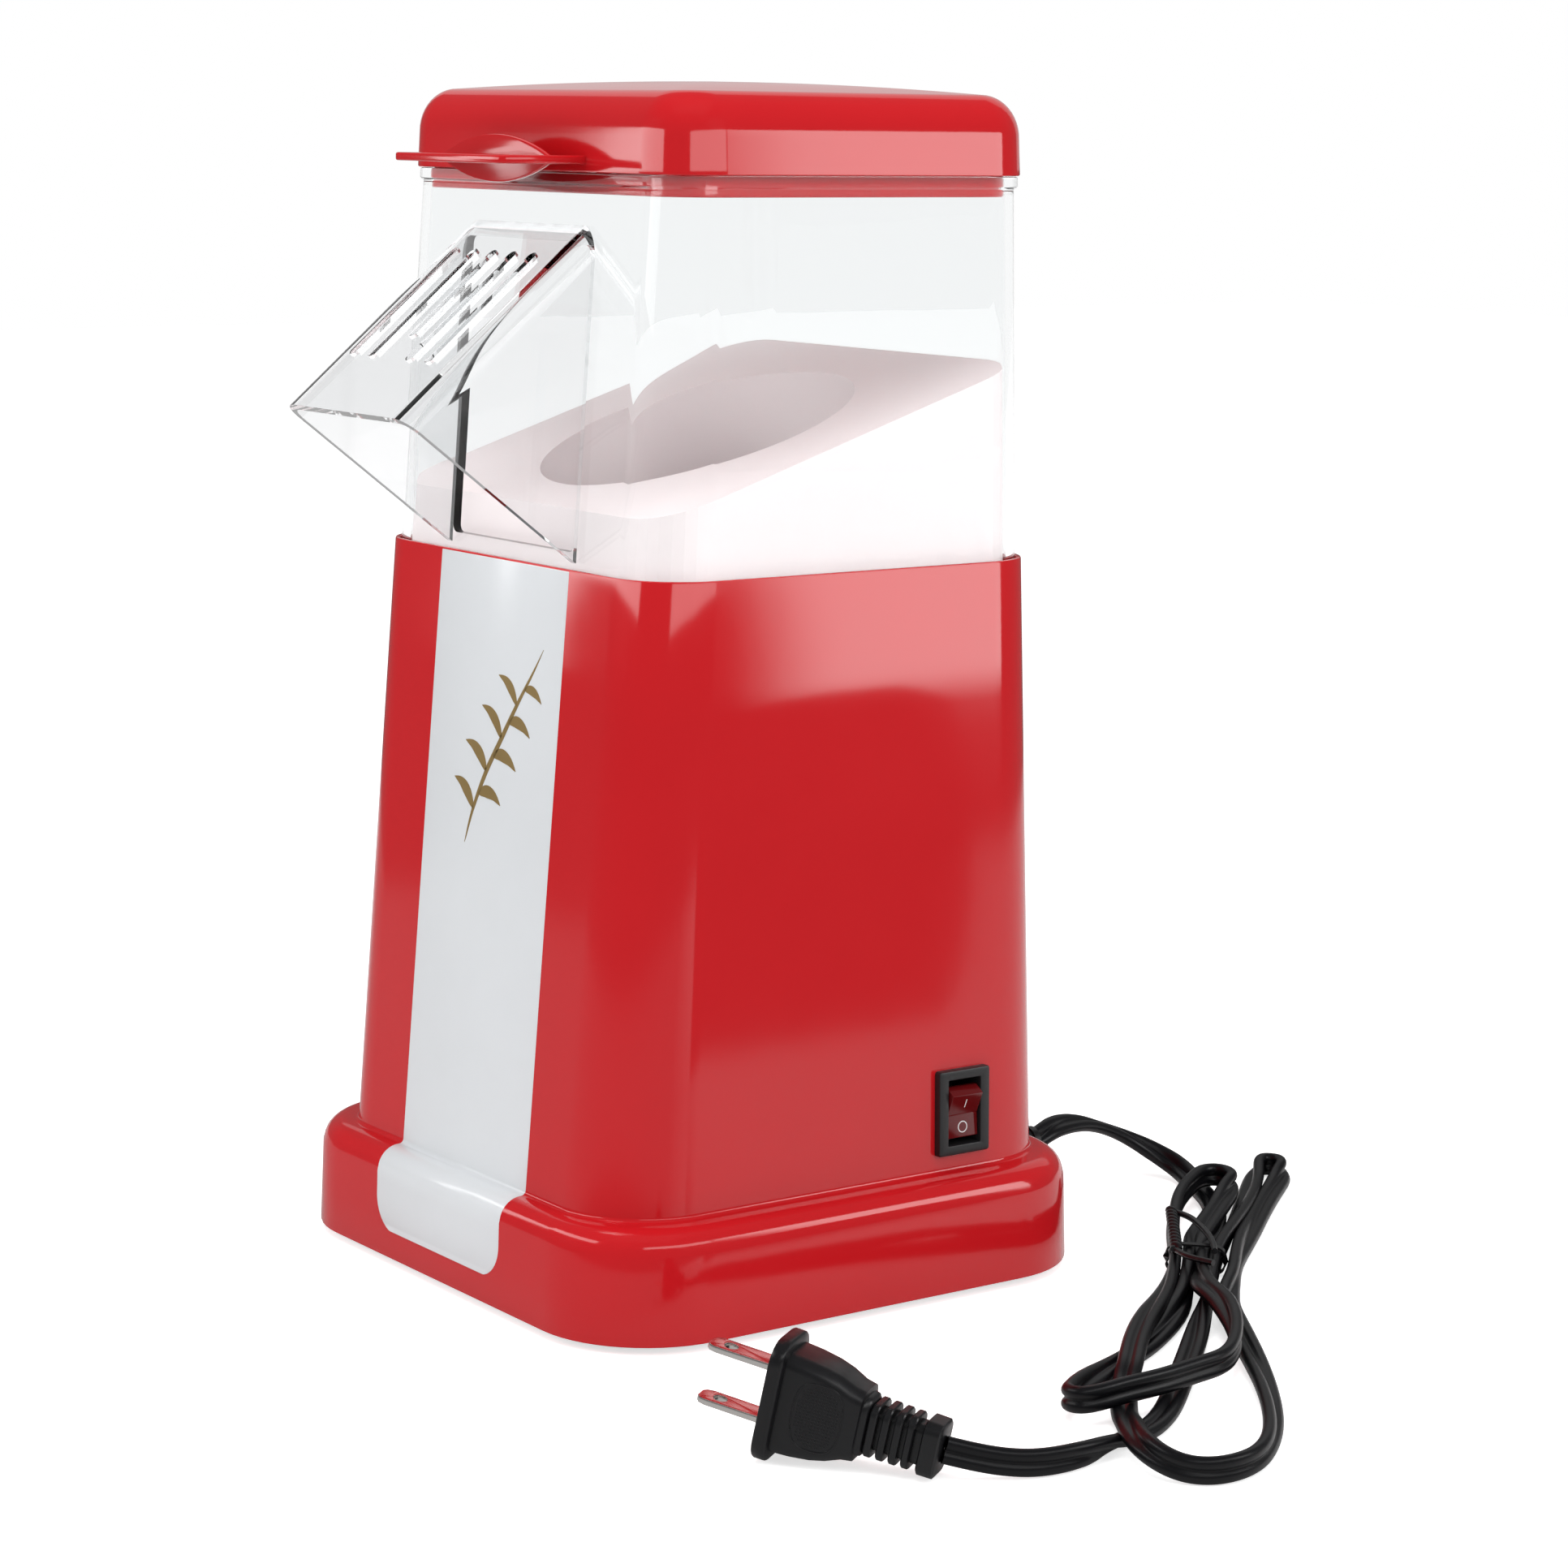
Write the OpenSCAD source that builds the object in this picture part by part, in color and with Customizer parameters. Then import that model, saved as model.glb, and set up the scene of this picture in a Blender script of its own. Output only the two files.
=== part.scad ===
/* [Plinth] */
// How far the plinth stands out beyond the body at each side
plinth_out_x = 11; // [9.5:0.5:14]
// How far the plinth stands out beyond the body at the front and back
plinth_out_y = 7.8; // [7.5:0.1:10]
// Height of the plinth's ledge above the table
plinth_h = 30; // [28:1:36]
// Corner radius of the plinth
plinth_r = 30; // [26:1:34]
// Radius of the rounded edge round the ledge
plinth_edge = 6; // [4:0.5:6.5]
// Height of the plinth's lower rim above the table, for the air intake
rim_gap = 2; // [1.5:0.5:5]

/* [Body] */
// Width of the body at the ledge
body_w_low = 140; // [138:1:150]
// Depth of the body at the ledge
body_d_low = 140; // [138:1:150]
// Corner radius of the body at the ledge
body_r_low = 23.5; // [20:0.5:26]
// Width of the body at its top rim
body_w_top = 133; // [130:1:137]
// Depth of the body at its top rim
body_d_top = 120.4; // [118:0.2:128]
// Corner radius of the body at its top rim
body_r_top = 18; // [16:0.5:20]
// How far the body's top rim sits behind its foot
body_lean = 2.4; // [1.5:0.1:3]
// Height of the top rim above the table
body_top_z = 184.5; // [180:0.5:190]
// Wall of the moulded housing
wall = 2.6; // [2.2:0.1:3]
// Depth of the recess that the clear hood stands in
seat_depth = 6.5; // [5:0.5:8]
// Thickness of the deck under the hood
deck_t = 3; // [2.4:0.2:4]
// Thickness of the rim round the recess
rim_t = 1.2; // [1:0.1:1.4]

/* [Front panel] */
// Width of the white front panel
panel_w = 59.6; // [50:0.2:64]
// Thickness of the panel
panel_t = 1.4; // [1:0.1:1.6]
// Height of the panel's lower end above the table
panel_low_z = 9; // [6:0.5:14]
// Radius of the panel's lower corners
panel_r = 9; // [5:0.5:10]

/* [Clear hood] */
// Width of the hood just under its flange
hood_w_top = 124.6; // [122:0.2:126]
// Depth of the hood just under its flange
hood_d_top = 108.8; // [106:0.2:111]
// Corner radius of the hood at the top
hood_r_top = 14; // [12:0.5:16]
// Height of the hood's top face above the table
hood_top_z = 279.4; // [270:0.2:290]
// Distance from the body's foot to the hood's top, front to back
hood_lean = 4.5; // [4:0.1:5]
// Wall of the clear hood
hood_t = 2.2; // [1.8:0.1:2.6]
// How far the top flange stands out
flange_out = 1; // [0.6:0.1:1.4]
// Height of the top flange
flange_h = 3; // [2:0.5:5]

/* [Pouring chute] */
// Width of the chute across its side walls
chute_w = 60; // [52:1:64]
// How far the lip reaches in front of the body axis
chute_reach = 103.2; // [95:0.2:110]
// Height of the lip
chute_lip_z = 222.4; // [216:0.2:230]
// Height at which the chute's top meets the hood
chute_top_z = 267; // [262:0.5:270]
// Height of the side walls' lower ends above the body's rim
chute_gap = 1.5; // [0.5:0.5:6]
// Wall of the chute
chute_t = 2.2; // [1.8:0.1:2.6]
// Radius of the chute's upper folds
chute_r = 6; // [4:0.5:8]
// Number of slots in the chute's top
slot_count = 5; // [3:1:5]
// Width of one slot
slot_w = 3; // [2:0.2:3.6]
// Length of the long slots
slot_len = 37; // [24:1:40]
// Distance between neighbouring slots
slot_pitch = 9; // [7:0.2:9.4]

/* [Lid] */
// Width of the lid
lid_w = 127.8; // [126:0.2:132]
// Depth of the lid
lid_d = 111.2; // [110.8:0.2:116]
// Corner radius of the lid
lid_r = 15.2; // [13:0.2:18]
// Height of the lid's straight side
lid_side_h = 8; // [6:0.5:12]
// Height of the rounded edge above the straight side
lid_round_h = 10; // [8:0.5:12]
// Inward reach of the rounded edge
lid_round_w = 9; // [7:0.5:11]
// Rise of the crown above the rounded edge
lid_crown = 4.4; // [3:0.2:6]
// Wall of the lid
lid_t = 2.2; // [1.8:0.1:2.6]
// How far the inner skirt reaches down into the hood
skirt_h = 5; // [3:0.5:12]
// Width of the finger tab
tab_w = 51.8; // [40:0.2:56]
// How far the finger tab stands out from the lid
tab_out = 24; // [18:0.5:28]
// Thickness of the finger tab
tab_t = 2; // [1.6:0.1:2.4]
// Height of the upright finger guard
guard_h = 11.6; // [9:0.2:13]

/* [Popping chamber] */
// Radius inside the popping chamber
chamber_r = 40; // [36:0.5:41]
// Sheet thickness of the chamber
chamber_t = 1.2; // [0.8:0.1:1.6]
// Height of the chamber's floor above the table
chamber_floor_z = 92; // [90:1:98]
// Number of slanted air slots round the chamber
air_slots = 20; // [14:1:24]
// Width of one air slot
air_slot_w = 2; // [1.4:0.1:2.6]
// Height of the band of air slots
air_slot_h = 14; // [10:1:18]
// Outer radius of the air shroud
shroud_r = 53; // [50:0.5:54]
// Wall of the air shroud
shroud_t = 1.5; // [1.2:0.1:2]
// Rise of the ramp's top plate for each millimetre towards the back
ramp_slope = 0.32; // [0.2:0.02:0.36]
// Height of the ramp's top plate above the hood's seat, over the chamber axis
ramp_h = 37; // [34:0.5:39]
// Thickness of the ramp's walls
ramp_t = 2; // [1.6:0.1:2.6]

/* [Fan and motor] */
// Radius of the fan over its blade tips
fan_r = 45; // [40:0.5:47]
// Number of fan blades
fan_blades = 7; // [5:1:9]
// Pitch of the fan blades in degrees
fan_pitch = 35; // [25:1:40]
// Radius of the motor can
motor_r = 14; // [12:0.5:17]
// Length of the motor can
motor_h = 32; // [28:1:33]
// Radius of the motor shaft
shaft_r = 1.15; // [1:0.05:1.5]

/* [Switch] */
// Height of the switch bezel
switch_h = 21; // [19:0.5:23]
// Width of the switch bezel
switch_w = 15; // [13:0.5:17]
// Height of the switch centre above the table
switch_z = 45.6; // [44:0.2:60]
// Distance of the switch from the body's middle towards the back
switch_y = 36; // [20:0.5:38]
// Turn of the rocker from one side to the other in degrees
rocker_turn = 22; // [14:1:24]

/* [Power cord] */
// Height of the flat twin lead when it stands on its edge
cord_h = 6.4; // [5:0.2:7]
// Thickness of the flat twin lead
cord_t = 3.2; // [2.6:0.1:3.4]
// Distance between the plug's blades
blade_gap = 12.7; // [12:0.1:13]
// Length of the plug's blades
blade_len = 16.5; // [15.5:0.5:18]

/* [Hidden] */

eps = 0.01;
seat_fit = 0.3;
run_fit = 0.05;
corner_steps = 7;
edge_steps = 5;
body_y_low = 0.5;
plinth_taper = 0.8;

seat_z = body_top_z - seat_depth;
deck_low_z = seat_z - deck_t;
plinth_w = body_w_low + 2*plinth_out_x;
plinth_d = body_d_low + 2*plinth_out_y;
inner_z = plinth_h - wall;
ramp_z = seat_z + ramp_h;
chute_low_z = body_top_z + chute_gap;

hood_foot_z = seat_z + seat_fit;
hood_w_low = body_w_top - 2*(rim_t + 0.4);
hood_d_low = body_d_top - 2*(rim_t + 0.4);
hood_r_low = body_r_top - rim_t - 0.4;
hood_y_low = body_y_low + body_lean;
hood_y_top = body_y_low + hood_lean;
flange_z = hood_top_z - flange_h;

lid_z = hood_top_z + 0.2;
lid_side_z = lid_z + lid_side_h;
lid_round_z = lid_side_z + lid_round_h;
lid_lean_y = hood_y_top;
tab_z = lid_z + 2;
guard_y = 9;

cover_t = 2.4;
cover_z = rim_gap + 0.4;
cover_top_z = cover_z + cover_t;
cover_w = plinth_w - 2*wall - 0.6;
cover_d = plinth_d - 2*wall - 0.6;
cover_r = plinth_r - wall - 0.3;
foot_r = 7;
foot_x = cover_w/2 - 22;
foot_y = cover_d/2 - 19;
boss_x = cover_w/2 - 13;
boss_y = cover_d/2 - 32;
boss_r = 3.6;
screw_r = 1.4;
screw_head_r = 2.8;
screw_head_h = 1.6;
cover_screw_len = 11;
shroud_screw_len = 7;
intake_r = 38;

flange_r = chamber_r + 8;
chamber_rim_z = seat_z + 1;
mouth_r = chamber_r + chamber_t + 0.8;

duct_top_z = 70;
duct_low_z = 46;
spider_t = 2.5;
spider_top_z = duct_low_z + 4;
motor_top_z = spider_top_z - spider_t;
motor_low_z = motor_top_z - motor_h;
fan_z = spider_top_z + 4;
fan_h = 12;
hub_r = 9;
shaft_top_z = fan_z + fan_h + 3.5;
ear_r = shroud_r + 4;
ear_t = 1.5;
deck_boss_h = 5;
ear_low_z = deck_low_z - deck_boss_h - ear_t;
mica_h = 17;
mica_z = duct_top_z + 0.2;
coil_z = mica_z + mica_h - 5;
coil_r = 2.4;
coil_wire_r = 0.45;
coil_pitch = 6.5;
coil_inner_r = 22;
coil_outer_r = 35;
coil_rings = [coil_inner_r, coil_outer_r];

relief_x = 24;
relief_z = 18.5;
relief_len = 20;
plug_heading = 213.7;
plug_tilt = 11.4;
plug_at = [183.5, -58, 6.9];
plug_len = 41;
face_h = 28.6;
face_w = 18;
tie_at = [97.4, 91.9, 4.2];
tie_angle = 43;

// Points of the cord with its roll in degrees: 0 stands on its edge, 90 lies flat
cord_route = [
    [24, 78, 18.5, 0], [24, 90, 18.5, 0], [24, 98.5, 18.6, 6], [22.4, 106, 20.8, 38], [18, 119, 19.2, 70],
    [15, 131, 15, 85],
    [16, 142, 9.8, 70], [24, 149, 4.4, 45], [33, 147, 2.6, 60], [42, 143, 1.8, 90], [55, 136, 1.8, 90],
    [66, 127, 1.8, 90], [80, 113, 1.9, 80], [89, 103, 2.8, 45], [97.8, 94, 4.2, 0], [111, 81, 5.6, 25],
    [126, 69, 8.3, 70], [136, 65, 8.4, 70], [147, 59, 7.8, 30], [159, 50, 6.9, 0], [170, 37, 6.8, 0],
    [172, 26, 6.8, 0], [174, 13, 6.8, 0], [174, 2, 6.8, 0], [174, -6, 6.4, 0], [172, -10, 6, 0],
    [168, -10, 5.6, 0], [165, -7, 5, 5], [159, 2, 4, 30], [149, 19, 2, 80], [141, 37, 1.8, 90],
    [130, 54, 1.9, 80], [118, 70, 3.2, 20], [96, 91, 4.2, 0], [87, 101, 5, 60], [77, 114, 5.1, 80],
    [64, 131, 5.3, 85], [57, 140, 6.2, 35], [54, 144, 6.8, 5], [50, 146, 6.8, 0], [46, 145, 6.8, 0],
    [45, 141, 6.8, 0], [48, 135, 6.8, 0], [57, 122, 6.4, 0], [67, 111, 4.2, 10], [82, 98, 3.4, 0],
    [95.3, 86.9, 4.2, 0], [113, 68, 3.6, 50], [129, 48, 5.1, 85], [143, 32, 5.2, 90], [155, 20, 4.6, 90],
    [160, 14, 1.9, 90], [175, 1, 1.8, 90], [188, -9, 5.3, 85], [201, -17, 6, 40], [210, -18, 4.6, 10],
    [216, -15, 3.4, 0], [220, -9, 3.4, 0], [219, 1, 3.4, 0], [212, 12, 3.4, 10], [198, 26, 2.8, 40],
    [179, 41, 2.4, 60], [159, 55, 1.8, 90], [141, 67, 1.8, 90], [125, 78, 2.2, 70], [114, 90, 3.4, 10],
    [100, 104, 3.4, 10], [80, 127, 2.2, 70], [61, 150, 1.8, 90], [48, 167, 2.2, 70], [43, 173, 3.4, 10],
    [39, 175, 3.4, 0], [36, 173, 3.4, 0], [37, 169, 3.4, 10], [45, 160, 2.2, 70], [63, 140, 2.6, 55],
    [84, 115, 3.4, 10], [99.3, 97.2, 4.2, 0], [116, 80, 3.4, 0], [130, 65, 2.8, 40], [145, 49, 1.8, 90],
    [162, 30, 1.8, 90], [178, 12, 1.8, 90], [186, 0, 1.8, 90], [189, -9, 1.8, 85], [191, -17, 2.4, 55],
    [195, -28, 3.4, 10], [194, -40, 3.4, 0], [189, -49, 4.3, 0], [183.5, -58, 6.9, 0]];

function lerp(a, b, t) = a + (b - a)*t;
function unit(v) = v/norm(v);

// Points round a rounded rectangle at one height, anticlockwise seen from above
function ring(w, d, r, yc, z) = [
    for (q = [0:3], k = [0:corner_steps])
        let (a = 90*q + 90*k/corner_steps)
        let (sx = (q == 0 || q == 3) ? 1 : -1)
        let (sy = (q < 2) ? 1 : -1)
        [sx*(w/2 - r) + r*cos(a), yc + sy*(d/2 - r) + r*sin(a), z]];

// Cross-sections of the body, the plinth and the hood at height z, moved inwards by inset
function body_ring(z, inset) =
    let (t = (z - plinth_h)/(body_top_z - plinth_h))
    ring(lerp(body_w_low, body_w_top, t) - 2*inset, lerp(body_d_low, body_d_top, t) - 2*inset,
        lerp(body_r_low, body_r_top, t) - inset, body_y_low + body_lean*t, z);
function plinth_ring(z, inset) =
    let (t = z/plinth_h)
    ring(plinth_w - plinth_taper*2*t - 2*inset, plinth_d - plinth_taper*2*t - 2*inset,
        plinth_r - inset, 0, z);
function hood_ring(z, inset) =
    let (t = (z - body_top_z)/(flange_z - body_top_z))
    ring(lerp(hood_w_low, hood_w_top, t) - 2*inset, lerp(hood_d_low, hood_d_top, t) - 2*inset,
        lerp(hood_r_low, hood_r_top, t) - inset, lerp(hood_y_low, hood_y_top, t), z);
function lid_ring(z, inset) = ring(lid_w - 2*inset, lid_d - 2*inset, max(lid_r - inset, 1), lid_lean_y, z);

// Front faces of the body and of the hood, as distances in front of the axis at height z
function body_front(z) =
    let (t = (z - plinth_h)/(body_top_z - plinth_h))
    lerp(body_d_low, body_d_top, t)/2 - body_y_low - body_lean*t;
function hood_front(z) =
    let (t = (z - body_top_z)/(flange_z - body_top_z))
    lerp(hood_d_low, hood_d_top, t)/2 - lerp(hood_y_low, hood_y_top, t);
function body_side(z) = lerp(body_w_low, body_w_top, (z - plinth_h)/(body_top_z - plinth_h))/2;

// Cross-sections of the whole housing from the rim to height z_top, moved inwards by inset
function case_rings(inset, z_low, z_top) = concat(
    [plinth_ring(z_low, inset), plinth_ring(plinth_h - plinth_edge, inset)],
    [for (k = [1:edge_steps])
        let (a = 90*k/edge_steps)
        let (out = (plinth_edge - inset)*cos(a) - plinth_edge - plinth_taper)
        ring(plinth_w + 2*out, plinth_d + 2*out, plinth_r + out + plinth_taper, 0,
            plinth_h - plinth_edge + (plinth_edge - inset)*sin(a))],
    [body_ring(plinth_h - inset, inset), body_ring(z_top, inset)]);

// A closed solid through a stack of cross-sections with the same number of points
module loft(rings, split = false) {
    n = len(rings[0]);
    last = len(rings) - 1;
    polyhedron(
        points = [for (row = rings) each row],
        faces = concat(
            [[for (i = [0:n - 1]) i]],
            [for (s = [0:last - 1], i = [0:n - 1])
                let (j = (i + 1)%n)
                each split
                    ? [[s*n + i, (s + 1)*n + i, (s + 1)*n + j], [s*n + i, (s + 1)*n + j, s*n + j]]
                    : [[s*n + i, (s + 1)*n + i, (s + 1)*n + j, s*n + j]]],
            [[for (i = [n - 1:-1:0]) last*n + i]]));
}

// A rounded rectangle with true arcs, centred
module round_rect(w, d, r) {
    square([w - 2*r, d], center = true);
    square([w, d - 2*r], center = true);
    for (x = [-1, 1], y = [-1, 1])
        translate([x*(w/2 - r), y*(d/2 - r)])
            circle(r = r, $fn = 48);
}

module tube(r_out, r_in, z_low, z_top) {
    translate([0, 0, z_low])
        difference() {
            cylinder(r = r_out, h = z_top - z_low, $fn = 96);
            translate([0, 0, -1])
                cylinder(r = r_in, h = z_top - z_low + 2, $fn = 96);
        }
}

// Places children at the four corners (x, y), and at four points round the axis
module corners(x, y) {
    for (sx = [-1, 1], sy = [-1, 1])
        translate([sx*x, sy*y, 0])
            children();
}

module around(count, start) {
    for (k = [0:count - 1])
        rotate([0, 0, start + 360*k/count])
            children();
}

// Frame of the switch: +X points out of the side wall, +Z up along it
side_tilt = atan((body_w_low - body_w_top)/2/(body_top_z - plinth_h));
module on_side_wall() {
    translate([body_side(switch_z), switch_y, switch_z])
        rotate([0, -side_tilt, 0])
            children();
}

// Everything in front of the panel's outline, as a prism along Y
module panel_outline(grow) {
    top_z = body_top_z + 1;
    translate([0, 0, 0])
        rotate([90, 0, 0])
            linear_extrude(height = plinth_d) {
                translate([-panel_w/2 - grow, panel_low_z + panel_r])
                    square([panel_w + 2*grow, top_z - panel_low_z - panel_r]);
                translate([-panel_w/2 + panel_r, panel_low_z - grow])
                    square([panel_w - 2*panel_r, panel_r + 2*grow]);
                for (x = [-1, 1])
                    translate([x*(panel_w/2 - panel_r), panel_low_z + panel_r])
                        circle(r = panel_r + grow, $fn = 48);
            }
}

module main_housing() {
    color("firebrick")
        difference() {
            union() {
                difference() {
                    loft(case_rings(0, rim_gap, body_top_z));
                    loft(case_rings(wall, rim_gap - 1, deck_low_z));
                }
                housing_bosses();
            }
            // recess for the hood, and the mouth over the chamber
            loft([body_ring(seat_z, rim_t), body_ring(body_top_z + 1, rim_t)]);
            translate([0, 0, deck_low_z - 1])
                cylinder(r = mouth_r, h = deck_t + 2, $fn = 96);
            // seat of the front panel
            difference() {
                panel_outline(0.15);
                loft(case_rings(panel_t, rim_gap - 2, body_top_z + 2));
            }
            // openings for the switch and the cord
            on_side_wall()
                translate([-wall - 2, -switch_w/2 + 1, -switch_h/2 + 1])
                    cube([wall + 4, switch_w - 2, switch_h - 2]);
            translate([relief_x, plinth_d/2 - wall - 4, relief_z])
                rotate([-90, 0, 0])
                    cylinder(r = 5, h = wall + 8, $fn = 48);
            // pilot holes for the cover and shroud screws
            corners(boss_x, boss_y)
                translate([0, 0, cover_top_z - 1])
                    cylinder(r = screw_r, h = 12, $fn = 24);
            around(4, 45)
                translate([ear_r, 0, deck_low_z - 6])
                    cylinder(r = screw_r, h = 7, $fn = 24);
        }
}

// Screw bosses inside the housing: four down to the cover, four short ones under the deck
module housing_bosses() {
    corners(boss_x, boss_y)
        translate([0, 0, cover_top_z])
            cylinder(r = boss_r, h = inner_z - cover_top_z + 1, $fn = 32);
    around(4, 45)
        translate([ear_r, 0, deck_low_z - 5])
            cylinder(r = boss_r, h = 6, $fn = 32);
}

module front_panel() {
    color("whitesmoke")
        intersection() {
            panel_outline(0);
            difference() {
                loft(case_rings(0, rim_gap, body_top_z));
                loft(case_rings(panel_t, rim_gap - 1, body_top_z + 1));
            }
        }
}

module bottom_cover() {
    color("dimgray")
        difference() {
            union() {
                translate([0, 0, cover_z])
                    linear_extrude(height = cover_t)
                        round_rect(cover_w, cover_d, cover_r);
                // stiffening ring round the intake and cups that hold the feet
                tube(intake_r + 4, intake_r + 2, cover_top_z - eps, cover_top_z + 3);
                corners(foot_x, foot_y)
                    translate([0, 0, cover_z])
                        cylinder(r = foot_r + 1.6, h = 4, $fn = 48);
            }
            intake_slots();
            corners(foot_x, foot_y)
                translate([0, 0, cover_z - 1])
                    cylinder(r = foot_r + run_fit, h = 3, $fn = 48);
            corners(boss_x, boss_y) {
                translate([0, 0, cover_z - 1])
                    cylinder(r = screw_r + 0.3, h = cover_t + 2, $fn = 24);
                translate([0, 0, cover_z - 1])
                    cylinder(r = 3.2, h = 2, $fn = 32);
            }
        }
}

// Rings of curved slots, each ring broken by six spokes
module intake_slots() {
    translate([0, 0, cover_z - 1])
        difference() {
            union() {
                for (r = [intake_r:-6:14])
                    difference() {
                        cylinder(r = r, h = cover_t + 2, $fn = 96);
                        translate([0, 0, -1])
                            cylinder(r = r - 3, h = cover_t + 4, $fn = 96);
                    }
            }
            around(6, 0)
                translate([0, -1.5, -1])
                    cube([intake_r + 2, 3, cover_t + 4]);
        }
}

module rubber_feet() {
    color("black")
        corners(foot_x, foot_y) {
            cylinder(r = foot_r - 0.8, h = rim_gap, $fn = 48);
            translate([0, 0, 0.8])
                cylinder(r = foot_r, h = cover_z + 1.2, $fn = 48);
        }
}

module cover_screws() {
    color("silver")
        corners(boss_x, boss_y) {
            translate([0, 0, cover_z - 0.6])
                cylinder(r = screw_head_r, h = screw_head_h, $fn = 32);
            translate([0, 0, cover_z])
                cylinder(r = screw_r - run_fit, h = cover_screw_len, $fn = 24);
        }
}

// Half-space under the ramp's top plate, dropped by drop
module under_ramp(drop) {
    translate([0, 0, ramp_z - drop])
        rotate([atan(ramp_slope), 0, 0])
            translate([-100, -100, -100])
                cube([200, 200, 100]);
}

module inner_ramp() {
    gap = hood_t + 0.8;
    high = body_top_z + 60;
    color("white")
        difference() {
            union() {
                difference() {
                    intersection() {
                        loft([hood_ring(seat_z, gap), hood_ring(high, gap)]);
                        under_ramp(0);
                    }
                    intersection() {
                        loft([hood_ring(seat_z - 1, gap + ramp_t), hood_ring(high + 1, gap + ramp_t)]);
                        under_ramp(ramp_t);
                    }
                }
                intersection() {
                    tube(chamber_r + ramp_t, chamber_r, chamber_rim_z + chamber_t + 0.2, high);
                    under_ramp(eps);
                }
            }
            translate([0, 0, seat_z - 1])
                cylinder(r = chamber_r, h = high, $fn = 96);
        }
}

module chamber_seal() {
    color("gainsboro")
        tube(flange_r - 1, mouth_r + 0.4, seat_z, chamber_rim_z);
}

module popping_chamber() {
    slot_z = chamber_floor_z + air_slot_h/2 + 3;
    color("lightgray")
        difference() {
            rotate_extrude($fn = 96)
                polygon([
                    [0, chamber_floor_z + 3], [10, chamber_floor_z + 3], [16, chamber_floor_z],
                    [chamber_r - 6, chamber_floor_z], [chamber_r + chamber_t, chamber_floor_z + 7],
                    [chamber_r + chamber_t, chamber_rim_z], [flange_r, chamber_rim_z],
                    [flange_r, chamber_rim_z + chamber_t], [chamber_r, chamber_rim_z + chamber_t],
                    [chamber_r, chamber_floor_z + 7.5], [chamber_r - 6.5, chamber_floor_z + chamber_t],
                    [16.5, chamber_floor_z + chamber_t], [10.5, chamber_floor_z + 3 + chamber_t],
                    [0, chamber_floor_z + 3 + chamber_t]]);
            around(air_slots, 0)
                translate([chamber_r, 0, slot_z + 6])
                    rotate([35, 0, 0])
                        cube([6, air_slot_w, air_slot_h], center = true);
        }
}

module air_shroud() {
    color("silver")
        difference() {
            union() {
                tube(shroud_r, shroud_r - shroud_t, duct_top_z + 1.5, deck_low_z);
                tube(shroud_r + 2.5, shroud_r - shroud_t, duct_top_z, duct_top_z + 1.5);
                around(4, 45)
                    translate([shroud_r - 1, -5, ear_low_z])
                        cube([8.5, 10, ear_t]);
            }
            around(4, 45)
                translate([ear_r, 0, ear_low_z - 1])
                    cylinder(r = screw_r + 0.3, h = ear_t + 2, $fn = 24);
            translate([0, 0, duct_top_z - 1])
                cylinder(r = shroud_r - shroud_t, h = deck_low_z - duct_top_z + 2, $fn = 96);
        }
}

module shroud_screws() {
    color("silver")
        around(4, 45)
            translate([ear_r, 0, 0]) {
                translate([0, 0, ear_low_z - screw_head_h])
                    cylinder(r = screw_head_r, h = screw_head_h, $fn = 32);
                translate([0, 0, ear_low_z - 0.5])
                    cylinder(r = screw_r - run_fit, h = shroud_screw_len, $fn = 24);
            }
}

// Two crossed mica boards with a notch for each heater ring
module mica_frame() {
    board = 2*(shroud_r - shroud_t) - 0.4;
    color("tan")
        difference() {
            for (a = [0, 90])
                rotate([0, 0, a])
                    translate([-board/2, -0.5, mica_z])
                        cube([board, 1, mica_h]);
            for (r = coil_rings)
                translate([0, 0, coil_z])
                    rotate_extrude($fn = 96)
                        translate([r, 0])
                            circle(r = coil_r + 0.1, $fn = 24);
        }
}

// Two open rings of wound wire, threaded through the notches of the mica boards
module heater_coil() {
    color("dimgray")
        for (r = coil_rings)
            translate([0, 0, coil_z])
                wound_ring(r, 340);
}

// Wire wound round a ring of radius r, over span degrees of it
module wound_ring(r, span) {
    turns = round(2*PI*r*span/360/coil_pitch);
    turn_steps = 8;
    sides = 4;
    wind_r = coil_r - coil_wire_r;
    loft([
        for (i = [0:turns*turn_steps])
            let (t = span*i/turns/turn_steps, p = 360*i/turn_steps)
            let (radial = [cos(t), sin(t), 0], onward = [-sin(t), cos(t), 0])
            let (out = radial*cos(p) + [0, 0, sin(p)])
            let (along = unit(onward*coil_pitch + ([0, 0, cos(p)] - radial*sin(p))*2*PI*wind_r))
            let (side = cross(along, out))
            [for (k = [0:sides - 1])
                let (a = 360*k/sides)
                radial*r + out*(wind_r + coil_wire_r*cos(a)) + side*coil_wire_r*sin(a)]], split = true);
}

module thermal_fuse() {
    color("lightsteelblue")
        translate([10, 2.6, mica_z + 3])
            rotate([0, 90, 0]) {
                cylinder(r = 0.9, h = 22, $fn = 24);
                translate([0, 0, 6])
                    cylinder(r = 2, h = 10, $fn = 32);
            }
}

module thermostat() {
    color("darkgray")
        rotate([0, 0, 200])
            difference() {
                translate([shroud_r - 4, 0, deck_low_z - 40])
                    rotate([0, 90, 0]) {
                        cylinder(r = 9, h = 7, $fn = 48);
                        cylinder(r = 7, h = 10, $fn = 48);
                        translate([-12, -4, 3])
                            cube([24, 8, 2]);
                    }
                cylinder(r = shroud_r + run_fit, h = 200, $fn = 96);
            }
}

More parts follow.
